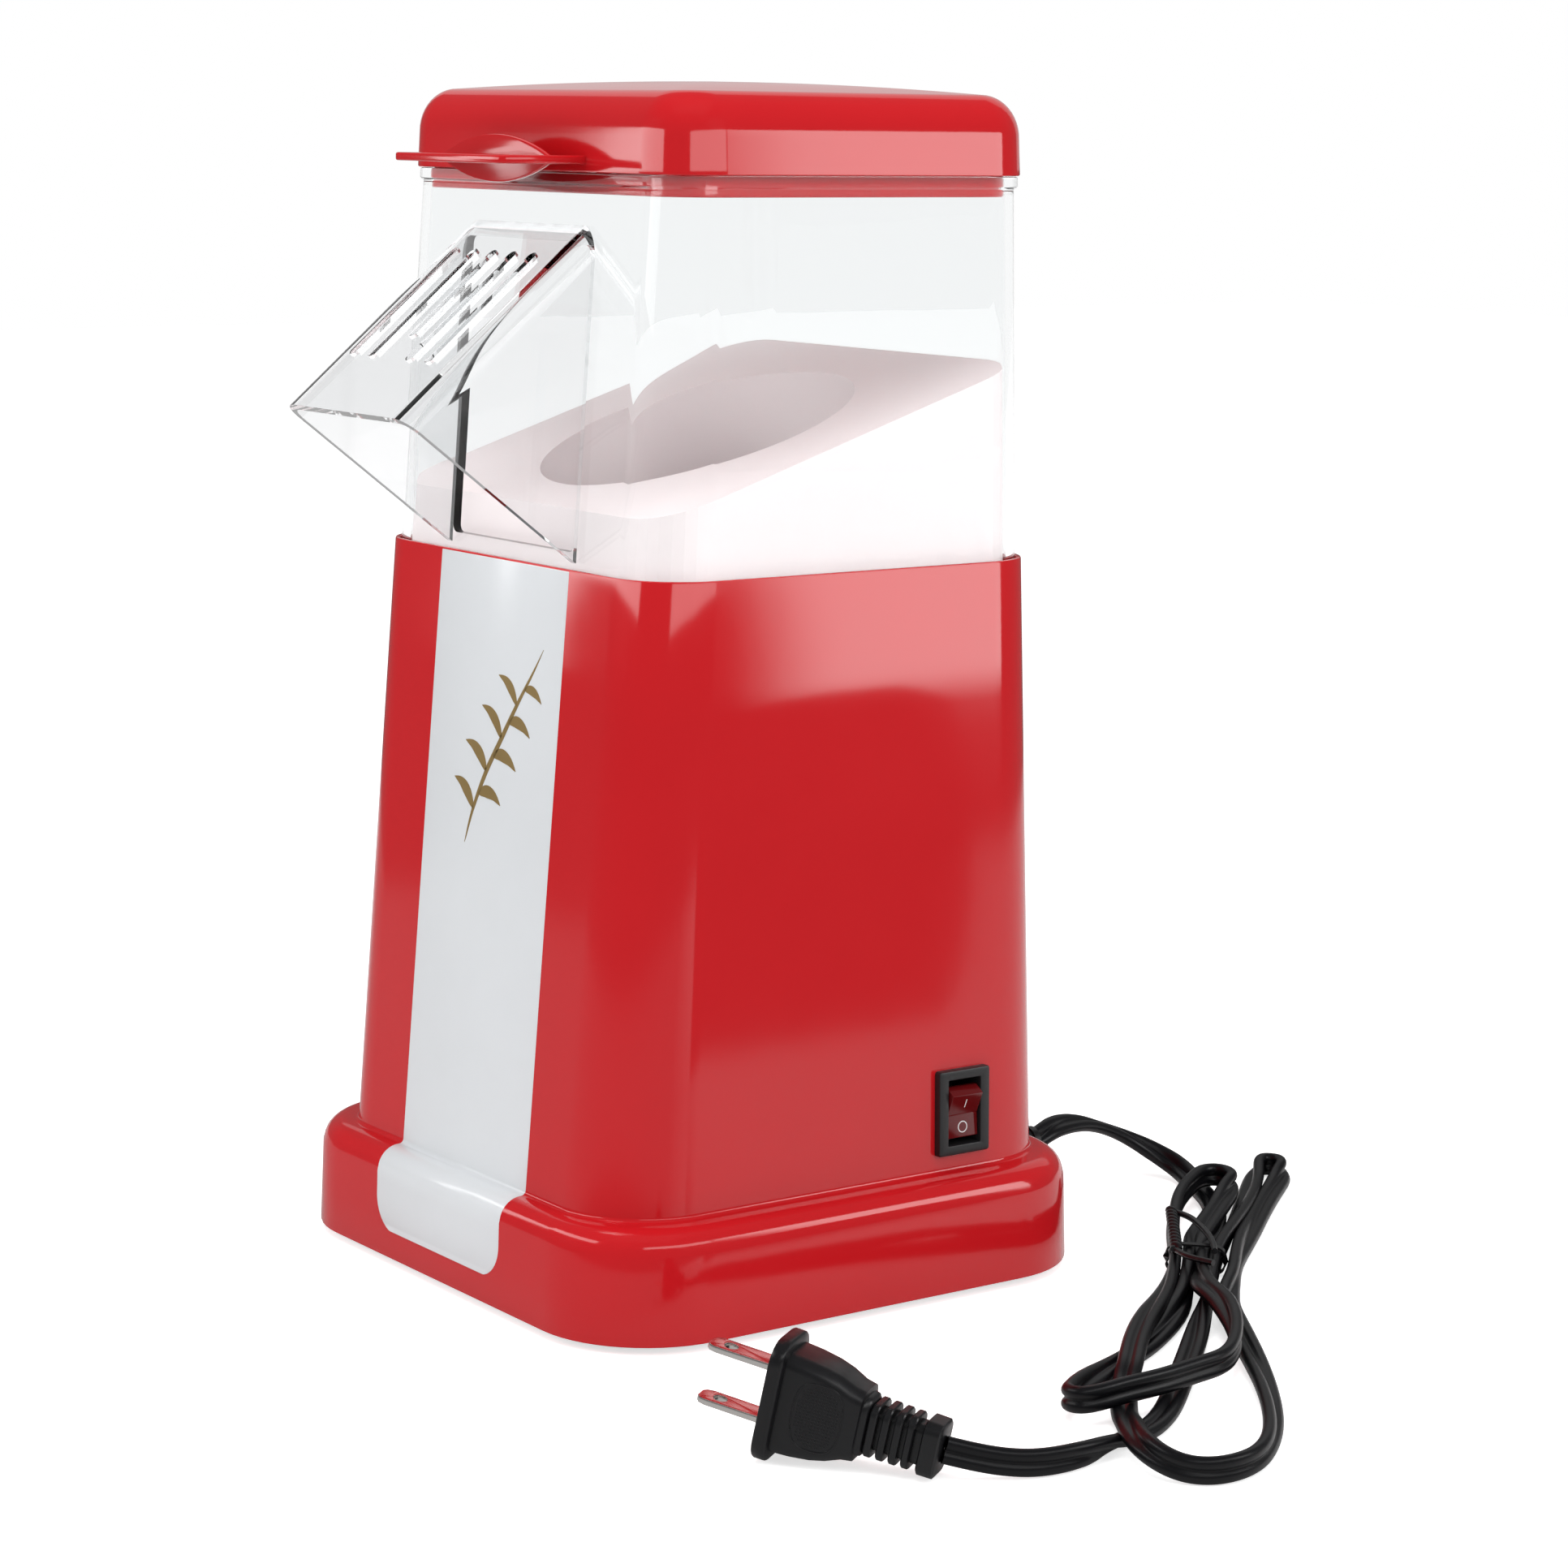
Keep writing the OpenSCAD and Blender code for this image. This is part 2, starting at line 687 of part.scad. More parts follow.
// Duct round the fan, with the spider that carries the motor under it
module fan_duct() {
    color("dimgray")
        difference() {
            union() {
                tube(shroud_r, fan_r + 1.8, duct_low_z, duct_top_z - 1.5);
                tube(shroud_r + 2.5, fan_r + 1.8, duct_top_z - 1.5, duct_top_z);
                translate([0, 0, motor_top_z])
                    cylinder(r = motor_r + 3, h = spider_t, $fn = 64);
                around(4, 45)
                    translate([motor_r, -3, motor_top_z])
                        cube([fan_r + 3 - motor_r, 6, spider_t]);
            }
            translate([0, 0, motor_top_z - 1])
                cylinder(r = 5.2, h = spider_t + 2, $fn = 48);
            around(2, 0)
                translate([9, 0, motor_top_z - 1])
                    cylinder(r = 1.5, h = spider_t + 2, $fn = 24);
        }
}

module motor_can() {
    color("silver")
        difference() {
            union() {
                translate([0, 0, motor_low_z])
                    cylinder(r = motor_r, h = motor_h, $fn = 64);
                translate([0, 0, motor_top_z])
                    cylinder(r = 5, h = spider_t, $fn = 48);
            }
            translate([0, 0, motor_low_z - 1])
                cylinder(r = shaft_r + run_fit, h = motor_h + spider_t + 2, $fn = 32);
            around(2, 0)
                translate([9, 0, motor_top_z - 5])
                    cylinder(r = 1.2, h = 6, $fn = 24);
        }
}

module motor_end_cap() {
    color("black")
        difference() {
            union() {
                translate([0, 0, motor_low_z - 3])
                    cylinder(r = motor_r - 0.5, h = 3, $fn = 64);
                for (y = [-1, 1])
                    translate([-1.5, y*9 - 0.4, motor_low_z - 5])
                        cube([3, 0.8, 2.5]);
            }
            translate([0, 0, motor_low_z - 2])
                cylinder(r = shaft_r + run_fit, h = 4, $fn = 32);
        }
}

module motor_screws() {
    color("silver")
        around(2, 0)
            translate([9, 0, 0]) {
                translate([0, 0, spider_top_z])
                    cylinder(r = 2.4, h = 1.4, $fn = 32);
                translate([0, 0, motor_top_z - 4])
                    cylinder(r = 1.15, h = spider_t + 4.5, $fn = 24);
            }
}

module rectifier_board() {
    color("darkgreen")
        difference() {
            translate([0, 0, motor_low_z - 4.6])
                cylinder(r = motor_r - 1, h = 1.6, $fn = 64);
            for (y = [-1, 1])
                translate([-1.6, y*9 - 0.5, motor_low_z - 5])
                    cube([3.2, 1, 3]);
        }
}

module diodes() {
    color("black")
        for (x = [-7.5, -2.5, 2.5, 7.5])
            translate([x, -3, motor_low_z - 4.6 - 1.6])
                rotate([-90, 0, 0]) {
                    cylinder(r = 1.5, h = 6, $fn = 24);
                }
}

module motor_shaft() {
    color("gainsboro")
        translate([0, 0, motor_low_z - 1.5])
            cylinder(r = shaft_r, h = shaft_top_z - motor_low_z + 1.5, $fn = 32);
}

module fan_impeller() {
    color("lightgray")
        translate([0, 0, fan_z])
            difference() {
                union() {
                    cylinder(r = hub_r, h = fan_h - 2, $fn = 64);
                    intersection() {
                        difference() {
                            cylinder(r = fan_r, h = fan_h, $fn = 96);
                            translate([0, 0, -1])
                                cylinder(r = hub_r - 1, h = fan_h + 2, $fn = 64);
                        }
                        around(fan_blades, 0)
                            translate([0, 0, fan_h/2])
                                rotate([fan_pitch, 0, 0])
                                    translate([0, -fan_h, -0.6])
                                        cube([fan_r + 1, 2*fan_h, 1.2]);
                    }
                }
                translate([0, 0, -1])
                    cylinder(r = shaft_r + 0.02, h = fan_h + 2, $fn = 32);
            }
}

module fan_collar() {
    color("gold")
        tube(3.2, shaft_r + 0.02, fan_z + fan_h - 2, fan_z + fan_h + 2);
}

// Rocker housing: bezel outside the wall, snap-in body with pin sockets behind it
pivot_depth = 3.2;
rocker_w = 9.6;
rocker_h = 15;
module switch_body() {
    color("black")
        on_side_wall()
            difference() {
                union() {
                    translate([0, 0, 0])
                        rotate([90, 0, 90])
                            linear_extrude(height = 2)
                                round_rect(switch_w, switch_h, 1);
                    translate([-15, -switch_w/2 + 1.2, -switch_h/2 + 1.2])
                        cube([15 + eps, switch_w - 2.4, switch_h - 2.4]);
                }
                translate([-10, -rocker_w/2 - 0.3, -rocker_h/2 - 1])
                    cube([14, rocker_w + 0.6, rocker_h + 2]);
                translate([-pivot_depth, -rocker_w/2 - 1, 0])
                    rotate([-90, 0, 0])
                        cylinder(r = 1.5 + run_fit, h = rocker_w + 2, $fn = 32);
            }
}

// Rocker: two faces that meet in a shallow valley, standing with its upper half out
module switch_rocker() {
    color("darkred")
        on_side_wall()
            translate([-pivot_depth, 0, 0]) {
                rotate([0, rocker_turn/2, 0])
                    translate([0, rocker_w/2, 0])
                        rotate([90, 0, 0])
                            linear_extrude(height = rocker_w)
                                polygon([[-3, -4], [-3, 4], [1.5, rocker_h/2 - 0.6], [5.6, rocker_h/2 - 0.4],
                                    [4.2, 0], [5.6, -rocker_h/2 + 0.4], [1.5, -rocker_h/2 + 0.6]]);
                translate([0, -rocker_w/2 - 0.8, 0])
                    rotate([-90, 0, 0])
                        cylinder(r = 1.5, h = rocker_w + 1.6, $fn = 32);
            }
}

module switch_terminals() {
    color("gold")
        on_side_wall()
            for (z = [-5, 1, 7])
                translate([-23, -3.1, z - 0.4])
                    cube([8, 6.2, 0.8]);
}

// Collar snapped into the back wall, then a tapered sleeve with grooves
module strain_relief() {
    back = plinth_d/2 - plinth_taper*relief_z/plinth_h;
    color("black")
        translate([relief_x, back, relief_z])
            rotate([-90, 0, 0])
                difference() {
                    union() {
                        translate([0, 0, -wall - 2.4])
                            cylinder(r = 5.8, h = 1.8, $fn = 48);
                        translate([0, 0, -wall - 1])
                            cylinder(r = 4.9, h = wall + 2, $fn = 48);
                        translate([0, 0, 0.4])
                            cylinder(r = 6.5, h = 2, $fn = 48);
                        translate([0, 0, 2])
                            cylinder(r1 = 5.6, r2 = 4, h = relief_len - 2, $fn = 48);
                    }
                    for (z = [5:3:relief_len - 3])
                        difference() {
                            translate([0, 0, z])
                                cylinder(r = 8, h = 1, $fn = 48);
                            translate([0, 0, z - 1])
                                cylinder(r = 3.7, h = 3, $fn = 48);
                        }
                    translate([0, 0, -wall - 3])
                        cylinder(r = 3.3, h = relief_len + wall + 4, $fn = 32);
                }
}

// A flat oval tube along a path of points [x, y, z, roll]
function place(p) = [p[0], p[1], p[2]];
module flat_tube(path, height, thick, sides) {
    last = len(path) - 1;
    loft([
        for (i = [0:last])
            let (along = unit(place(path[min(i + 1, last)]) - place(path[max(i - 1, 0)])))
            let (level = unit(cross(along, [0, 0, 1])))
            let (upright = cross(level, along))
            let (side = level*cos(path[i][3]) + upright*sin(path[i][3]))
            let (up = upright*cos(path[i][3]) - level*sin(path[i][3]))
            [for (k = [0:sides - 1])
                let (a = -360*(k + 0.5)/sides)
                place(path[i]) + side*thick/2*cos(a) + up*height/2*sin(a)]], split = true);
}

module power_cord() {
    color("black")
        flat_tube(cord_route, cord_h, cord_t, 8);
}

// Frame of the plug: origin where the lead enters, +X towards the blades, lying on one edge
module at_plug() {
    translate(plug_at)
        rotate([0, 0, plug_heading])
            rotate([0, -plug_tilt, 0])
                children();
}

module plug_block(x, len_x, w, h) {
    translate([x, 0, 0])
        rotate([90, 0, 90])
            linear_extrude(height = len_x)
                round_rect(w, h, min(w, h)/3);
}

module plug_body() {
    ribs = 4;
    color("black")
        at_plug()
            difference() {
                union() {
                    plug_block(0.5, 4, 10, 13);
                    for (k = [0:ribs - 1])
                        plug_block(6.5 + 3.2*k, 1.8, 9 + 0.4*k, 12.5);
                    plug_block(1, 20, 6.5, 9.5);
                    hull() {
                        plug_block(19, 1, 9.5, 13);
                        plug_block(29, 1, 13, 21);
                        plug_block(plug_len - 4, 1, 14, face_h - 5);
                    }
                    plug_block(plug_len - 3.5, 3.5, face_w, face_h);
                }
                for (z = [-1, 1])
                    translate([plug_len - 6, -3.3, z*blade_gap/2 - 0.85])
                        cube([8, 6.6, 1.7]);
            }
}

module plug_blades() {
    color("silver")
        at_plug()
            for (z = [-1, 1])
                translate([plug_len - 5.9, 0, z*blade_gap/2 - 0.75])
                    linear_extrude(height = 1.5)
                        difference() {
                            polygon([[0, -3.17], [blade_len + 4, -3.17], [blade_len + 5.9, -1.6],
                                [blade_len + 5.9, 1.6], [blade_len + 4, 3.17], [0, 3.17]]);
                            translate([blade_len + 1, 0])
                                circle(r = 1.6, $fn = 32);
                        }
}

// Wire tie: one turn round the bundle, ends twisted together above it
module twist_tie() {
    half = [7.4, 3.7];
    turn = [for (k = [0:23])
        let (a = 15*k - 90)
        [half[0]*sign(cos(a))*pow(abs(cos(a)), 0.5), half[1]*sign(sin(a))*pow(abs(sin(a)), 0.5)]];
    color("black")
        translate(tie_at)
            rotate([0, 0, tie_angle])
                rotate([90, 0, 0])
                    linear_extrude(height = 1.4, center = true)
                        difference() {
                            offset(delta = 0.4)
                                polygon(turn);
                            polygon(turn);
                        }
}

module hood_shell() {
    window_w = chute_w - 2*chute_t;
    window_low_z = chute_low_z + 2.5;
    window_top_z = chute_top_z - 5;
    color([0.85, 0.9, 0.92, 0.4])
        difference() {
            loft([hood_ring(hood_foot_z, 0), hood_ring(flange_z, 0), hood_ring(flange_z + 0.6, -flange_out),
                hood_ring(hood_top_z, -flange_out)]);
            loft([hood_ring(hood_foot_z - 1, hood_t), hood_ring(hood_top_z + 1, hood_t)]);
            translate([-window_w/2, -hood_front(body_top_z) - 5, window_low_z])
                cube([window_w, 20, window_top_z - window_low_z]);
        }
}

// Side view of the chute: a wedge that stands on the hood's front face
function chute_wedge() = [
    [-hood_front(chute_top_z), chute_top_z], [-chute_reach, chute_lip_z],
    [-hood_front(chute_low_z), chute_low_z]];
chute_drop = chute_top_z - chute_lip_z;
chute_run = chute_reach - hood_front(chute_top_z);
chute_angle = atan(chute_drop/chute_run);

// Frame of the chute's top: +X across, +Y down the slope, +Z out of its surface
module on_chute_top() {
    translate([0, -hood_front(chute_top_z), chute_top_z])
        rotate([chute_angle, 0, 0])
            mirror([0, 1, 0])
                children();
}

module pour_chute() {
    color([0.85, 0.9, 0.92, 0.4])
        difference() {
            intersection() {
                on_chute_top()
                    translate([0, -60, 0])
                        rotate([-90, 0, 0])
                            linear_extrude(height = 160)
                                chute_section();
                rotate([90, 0, 90])
                    linear_extrude(height = chute_w + 2, center = true)
                        polygon(chute_wedge());
            }
            chute_slots();
        }
}

// Channel section of the chute, open below, with rounded upper folds
module chute_section() {
    deep = 90;
    difference() {
        translate([0, deep/2])
            round_rect(chute_w, deep, chute_r);
        translate([0, chute_t + deep/2])
            round_rect(chute_w - 2*chute_t, deep, chute_r - chute_t);
        translate([-chute_w, deep - 10])
            square([2*chute_w, 20]);
    }
}

module chute_slots() {
    middle = (slot_count - 1)/2;
    on_chute_top()
        for (k = [0:slot_count - 1])
            translate([(k - middle)*slot_pitch - 3, 12, -chute_t - 1])
                linear_extrude(height = chute_t + 2) {
                    long = (k == middle) ? slot_len - 8 : slot_len;
                    translate([-slot_w/2, 0])
                        square([slot_w, long]);
                    circle(r = slot_w/2, $fn = 32);
                    translate([0, long])
                        circle(r = slot_w/2, $fn = 32);
                }
}

// Cross-sections of the lid's outer surface, moved inwards by inset
function lid_rings(inset, z_low) =
    let (cut = 0.4 + lid_round_w)
    concat(
        [lid_ring(z_low, inset), lid_ring(lid_side_z, inset + 0.4)],
        [for (k = [1:edge_steps])
            let (a = 90*k/edge_steps)
            lid_ring(lid_side_z + (lid_round_h - inset)*sin(a), cut - (lid_round_w - inset)*cos(a))],
        [for (k = [1:4])
            let (t = 1 - k*0.23)
            ring((lid_w - 2*cut)*t, (lid_d - 2*cut)*t, max(lid_r - cut, 1)*t, lid_lean_y,
                lid_round_z - inset + lid_crown*(1 - t*t))]);

module lid() {
    skirt_gap = hood_t + 0.35;
    color("firebrick") {
        difference() {
            loft(lid_rings(0, lid_z));
            loft(lid_rings(lid_t, lid_z - 1));
        }
        // skirt that stands inside the hood, joined to the wall by a narrow shelf
        difference() {
            loft([hood_ring(hood_top_z - skirt_h, skirt_gap), hood_ring(lid_z + lid_t, skirt_gap)]);
            loft([hood_ring(hood_top_z - skirt_h - 1, skirt_gap + lid_t),
                hood_ring(lid_z + lid_t + 1, skirt_gap + lid_t)]);
        }
        difference() {
            loft([lid_ring(lid_z, 1), lid_ring(lid_z + lid_t, 1)]);
            loft([hood_ring(lid_z - 1, skirt_gap + 1), hood_ring(lid_z + lid_t + 1, skirt_gap + 1)]);
        }
        finger_tab();
    }
}

// Flat tab in front of the lid with an upright lens-shaped guard across it
module finger_tab() {
    lid_front = lid_lean_y - lid_d/2;
    lens_r = (tab_w*tab_w/4 + guard_h*guard_h/4)/guard_h;
    translate([0, lid_front - tab_out/2 + 2, tab_z])
        linear_extrude(height = tab_t)
            round_rect(tab_w, tab_out + 4, 4);
    translate([0, lid_front - guard_y, tab_z + tab_t/2])
        rotate([90, 0, 0])
            linear_extrude(height = 1.6, center = true)
                intersection() {
                    translate([0, lens_r - guard_h/2])
                        circle(r = lens_r, $fn = 96);
                    translate([0, -lens_r + guard_h/2])
                        circle(r = lens_r, $fn = 96);
                }
}

main_housing();
front_panel();
bottom_cover();
rubber_feet();
cover_screws();
inner_ramp();
chamber_seal();
popping_chamber();
air_shroud();
shroud_screws();
mica_frame();
heater_coil();
thermal_fuse();
thermostat();
fan_duct();
motor_can();
motor_end_cap();
motor_screws();
rectifier_board();
diodes();
switch_body();
switch_terminals();
strain_relief();
power_cord();
plug_body();
plug_blades();
twist_tie();
motor_shaft();
fan_impeller();
fan_collar();
switch_rocker();
hood_shell();
pour_chute();
lid();
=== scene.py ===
import bpy
import bmesh
import math
from mathutils import Matrix, Vector


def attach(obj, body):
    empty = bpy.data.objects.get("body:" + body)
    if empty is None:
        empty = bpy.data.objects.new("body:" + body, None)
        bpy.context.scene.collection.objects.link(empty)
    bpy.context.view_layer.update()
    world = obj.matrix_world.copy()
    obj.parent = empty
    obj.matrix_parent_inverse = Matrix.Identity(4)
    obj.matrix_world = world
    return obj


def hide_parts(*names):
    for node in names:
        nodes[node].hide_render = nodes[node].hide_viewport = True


mm = 0.001
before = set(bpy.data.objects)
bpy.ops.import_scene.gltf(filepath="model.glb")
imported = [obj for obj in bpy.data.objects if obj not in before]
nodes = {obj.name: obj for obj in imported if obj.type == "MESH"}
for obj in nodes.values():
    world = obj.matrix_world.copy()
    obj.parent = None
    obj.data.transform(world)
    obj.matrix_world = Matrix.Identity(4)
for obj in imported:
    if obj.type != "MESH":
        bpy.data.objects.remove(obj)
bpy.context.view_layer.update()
scene = bpy.context.scene
print("frame loaded")

# camera
cameraSet = {"place": (0.82515, -0.5692, 0.29369), "azimuth": 54.045, "elevation": 9.677, "roll": 0.757, "lens": 90}


def makeCamera(s):
    data = bpy.data.cameras.new("camera")
    data.lens = s["lens"]
    data.sensor_width = 36
    data.clip_end = 20
    cam = bpy.data.objects.new("camera", data)
    scene.collection.objects.link(cam)
    a, e, r = (math.radians(s[k]) for k in ("azimuth", "elevation", "roll"))
    back = Vector((math.sin(a) * math.cos(e), -math.cos(a) * math.cos(e), math.sin(e)))
    right = Vector((math.cos(a), math.sin(a), 0))
    up = back.cross(right)
    r2 = right * math.cos(r) + up * math.sin(r)
    u2 = up * math.cos(r) - right * math.sin(r)
    turned = Matrix((r2, u2, back)).transposed().to_quaternion()
    cam.matrix_world = Matrix.LocRotScale(Vector(s["place"]), turned, None)
    scene.camera = cam


makeCamera(cameraSet)

# materials


def nodeTree(name):
    m = bpy.data.materials.new(name)
    m.use_nodes = True
    return m, m.node_tree, m.node_tree.nodes["Principled BSDF"]


def feed(tree, value, socket):
    # links a socket, or sets a number
    if isinstance(value, bpy.types.NodeSocket):
        tree.links.new(value, socket)
    else:
        socket.default_value = value


def mathNode(tree, operation, *values, clamp=False):
    node = tree.nodes.new("ShaderNodeMath")
    node.operation = operation
    node.use_clamp = clamp
    for k, value in enumerate(values):
        feed(tree, value, node.inputs[k])
    return node.outputs[0]


def newGroup(name, kind, inputs, outputs):
    g = bpy.data.node_groups.new(name, kind)
    for way, sockets in (("INPUT", inputs), ("OUTPUT", outputs)):
        for label, socket in sockets:
            g.interface.new_socket(name=label, in_out=way, socket_type="NodeSocket" + socket)
    return g, g.nodes, g.links.new, g.nodes.new("NodeGroupInput"), g.nodes.new("NodeGroupOutput")


def makeMouldedGroup():
    # a faint waviness and mottling shared by the moulded and metal finishes
    inputs = [("Color", "Color")] + [(label, "Float") for label in ("Roughness", "Mottle", "Scale", "Wave")]
    outputs = [("Base Color", "Color"), ("Roughness", "Float"), ("Height", "Float")]
    g, n, link, start, end = newGroup("mouldedSkin", "ShaderNodeTree", inputs, outputs)
    noise = n.new("ShaderNodeTexNoise")
    noise.inputs["Detail"].default_value = 4
    link(n.new("ShaderNodeTexCoord").outputs["Object"], noise.inputs["Vector"])
    link(start.outputs["Scale"], noise.inputs["Scale"])
    part = mathNode(g, "MULTIPLY", mathNode(g, "SUBTRACT", noise.outputs["Fac"], 0.5), start.outputs["Mottle"])
    tint = n.new("ShaderNodeVectorMath")
    tint.operation = "SCALE"
    link(start.outputs["Color"], tint.inputs[0])
    link(mathNode(g, "ADD", part, 1), tint.inputs["Scale"])
    link(tint.outputs[0], end.inputs["Base Color"])
    link(mathNode(g, "ADD", start.outputs["Roughness"], part, clamp=True), end.inputs["Roughness"])
    link(mathNode(g, "MULTIPLY", noise.outputs["Fac"], start.outputs["Wave"]), end.inputs["Height"])
    return g


mouldedSkin = makeMouldedGroup()


def skinMaterial(name, color, roughness, mottle, scale, wave=0.0, metallic=0, specular=0.5):
    m, tree, bsdf = nodeTree(name)
    g = tree.nodes.new("ShaderNodeGroup")
    g.node_tree = mouldedSkin
    settings = {"Color": (*color, 1), "Roughness": roughness, "Mottle": mottle, "Scale": scale, "Wave": wave}
    for label, value in settings.items():
        g.inputs[label].default_value = value
    for label in ("Base Color", "Roughness"):
        tree.links.new(g.outputs[label], bsdf.inputs[label])
    if wave:
        addBump(tree, bsdf, g.outputs["Height"], 1, 0.001)
    bsdf.inputs["Metallic"].default_value = metallic
    bsdf.inputs["Specular IOR Level"].default_value = specular
    return m


def addBump(tree, bsdf, height, strength, distance):
    bump = tree.nodes.new("ShaderNodeBump")
    bump.inputs["Strength"].default_value = strength
    bump.inputs["Distance"].default_value = distance
    tree.links.new(height, bump.inputs["Height"])
    tree.links.new(bump.outputs[0], bsdf.inputs["Normal"])


def clearMaterial(name, color, ior=1.34):
    m, tree, bsdf = nodeTree(name)
    settings = {"Base Color": (*color, 1), "Roughness": 0, "IOR": ior, "Transmission Weight": 1}
    for label, value in settings.items():
        bsdf.inputs[label].default_value = value
    noise = tree.nodes.new("ShaderNodeTexNoise")
    noise.inputs["Scale"].default_value = 14
    tree.links.new(tree.nodes.new("ShaderNodeTexCoord").outputs["Object"], noise.inputs["Vector"])
    addBump(tree, bsdf, noise.outputs["Fac"], 0.25, 0.0006)
    return m


materials = {
    "red": skinMaterial("glossRed", (0.52, 0.009, 0.013), 0.1, 0.05, 40, 0.03),
    "white": skinMaterial("glossWhite", (0.68, 0.7, 0.72), 0.16, 0.06, 40, 0.02),
    # the ramp's white plastic carries a pink tint that is painted bounce light from the red lid
    "ramp": skinMaterial("rampWhitePaintedBounce", (0.82, 0.75, 0.755), 0.35, 0.03, 40),
    "clear": clearMaterial("clearPlastic", (0.94, 0.95, 0.952)),
    "chuteClear": clearMaterial("chutePlastic", (0.85, 0.855, 0.86)),
    "blackMatte": skinMaterial("blackMatte", (0.012, 0.012, 0.013), 0.42, 0.3, 900, 0.04),
    "blackSatin": skinMaterial("blackSatin", (0.006, 0.006, 0.007), 0.32, 0.2, 300, 0.02, specular=0.42),
    "cordBlack": skinMaterial("cordBlack", (0.004, 0.004, 0.005), 0.34, 0.02, 120, specular=0.25),
    "grey": skinMaterial("greyPlastic", (0.09, 0.09, 0.095), 0.45, 0.2, 500, 0.03),
    "chamber": skinMaterial("chamberMetal", (0.78, 0.78, 0.78), 0.3, 0.15, 120, 0.05, metallic=1),
    "steel": skinMaterial("steelParts", (0.6, 0.6, 0.61), 0.32, 0.15, 160, 0.02, metallic=1),
    "plated": skinMaterial("platedBlades", (0.76, 0.74, 0.71), 0.2, 0.1, 200, 0.02, metallic=1),
    "brass": skinMaterial("brassParts", (0.7, 0.5, 0.2), 0.3, 0.15, 160, 0.02, metallic=1),
    "gold": skinMaterial("goldPrint", (0.3, 0.2, 0.07), 0.35, 0.1, 90, metallic=0.4),
    "wire": skinMaterial("heaterWire", (0.35, 0.33, 0.31), 0.4, 0.2, 300, metallic=1),
    "mica": skinMaterial("micaBoard", (0.6, 0.5, 0.33), 0.5, 0.3, 120, 0.05),
    "seal": skinMaterial("fibreSeal", (0.72, 0.7, 0.66), 0.8, 0.3, 500, 0.3),
    "board": skinMaterial("greenBoard", (0.02, 0.16, 0.05), 0.35, 0.2, 150, 0.02),
    "rocker": skinMaterial("rockerRed", (0.11, 0.004, 0.005), 0.12, 0.1, 60),
    "mark": skinMaterial("markWhite", (0.75, 0.75, 0.75), 0.4, 0.1, 60),
}
cadFinish = {
    "red": "main_housing lid",
    "white": "front_panel",
    "grey": "bottom_cover fan_duct",
    "blackMatte": "rubber_feet switch_body",
    "steel": "cover_screws air_shroud shroud_screws motor_can motor_screws motor_shaft",
    "ramp": "inner_ramp",
    "seal": "chamber_seal",
    "chamber": "popping_chamber thermal_fuse fan_impeller",
    "mica": "mica_frame",
    "wire": "heater_coil",
    "blackSatin": "thermostat motor_end_cap diodes strain_relief plug_body twist_tie",
    "board": "rectifier_board",
    "brass": "switch_terminals fan_collar",
    "cordBlack": "power_cord",
    "plated": "plug_blades",
    "rocker": "switch_rocker",
    "clear": "hood_shell",
    "chuteClear": "pour_chute",
}
for finish, names in cadFinish.items():
    for name in names.split():
        if name in nodes:
            nodes[name].data.materials.clear()
            nodes[name].data.materials.append(materials[finish])
print("materials made")

# shapes shared by the pieces
body = {"plinthW": 162, "plinthD": 155.6, "plinthH": 30, "plinthR": 30, "edge": 6, "taper": 0.8, "rim": 2, "cove": 1.2,
        "wLow": 140, "dLow": 140, "rLow": 23.5, "yLow": 0.5, "wTop": 133, "dTop": 120.4, "rTop": 18, "lean": 2.4,
        "topZ": 184.5, "wall": 2.6, "seatZ": 178, "deckZ": 175, "rimT": 1.2, "mouth": 42, "steps": 14}
hood = {"wTop": 124.6, "dTop": 108.8, "rTop": 14, "lean": 4.5, "topZ": 279.4, "flangeZ": 276.4, "wall": 2.2, "out": 1,
        "footZ": 178.3, "fit": 0.4, "midZ": 230, "window": (55.6, 73.5, 2), "windowZ": 225.25}


def lerp(a, b, t):
    return a + (b - a) * t


def ring(w, d, r, yc, z, steps=body["steps"]):
    pts = []
    for q in range(4):
        sx, sy = (1 if q in (0, 3) else -1), (1 if q < 2 else -1)
        for k in range(steps + 1):
            a = math.radians(90 * q + 90 * k / steps)
            pts.append((sx * (w / 2 - r) + r * math.cos(a), yc + sy * (d / 2 - r) + r * math.sin(a), z))
    return pts


def bodyRing(z, t):
    s = (z - body["plinthH"]) / (body["topZ"] - body["plinthH"])
    w, d, r = (lerp(body[k + "Low"], body[k + "Top"], s) for k in "wdr")
    return ring(w - 2 * t, d - 2 * t, max(r - t, 1), body["yLow"] + body["lean"] * s, z)


def panelFront(z):
    s = (z - body["plinthH"]) / (body["topZ"] - body["plinthH"])
    return lerp(body["dLow"], body["dTop"], s) / 2 - body["yLow"] - body["lean"] * s


def plinthRing(z, t):
    slim = body["taper"] * 2 * (z / body["plinthH"]) + 2 * t
    return ring(body["plinthW"] - slim, body["plinthD"] - slim, body["plinthR"] - t, 0, z)


def hoodSpan(z):
    # width, depth, corner radius and middle of the hood's outside
    s = (z - body["topZ"]) / (hood["flangeZ"] - body["topZ"])
    low = 2 * (body["rimT"] + hood["fit"])
    w, d = (lerp(body[k] - low, hood[k], s) for k in ("wTop", "dTop"))
    r = lerp(body["rTop"] - low / 2, hood["rTop"], s)
    return w, d, r, lerp(body["yLow"] + body["lean"], body["yLow"] + hood["lean"], s)


def hoodRing(z, t):
    w, d, r, yc = hoodSpan(z)
    return ring(w - 2 * t, d - 2 * t, max(r - t, 1), yc, z)


def hoodFront(z):
    w, d, r, yc = hoodSpan(z)
    return d / 2 - yc


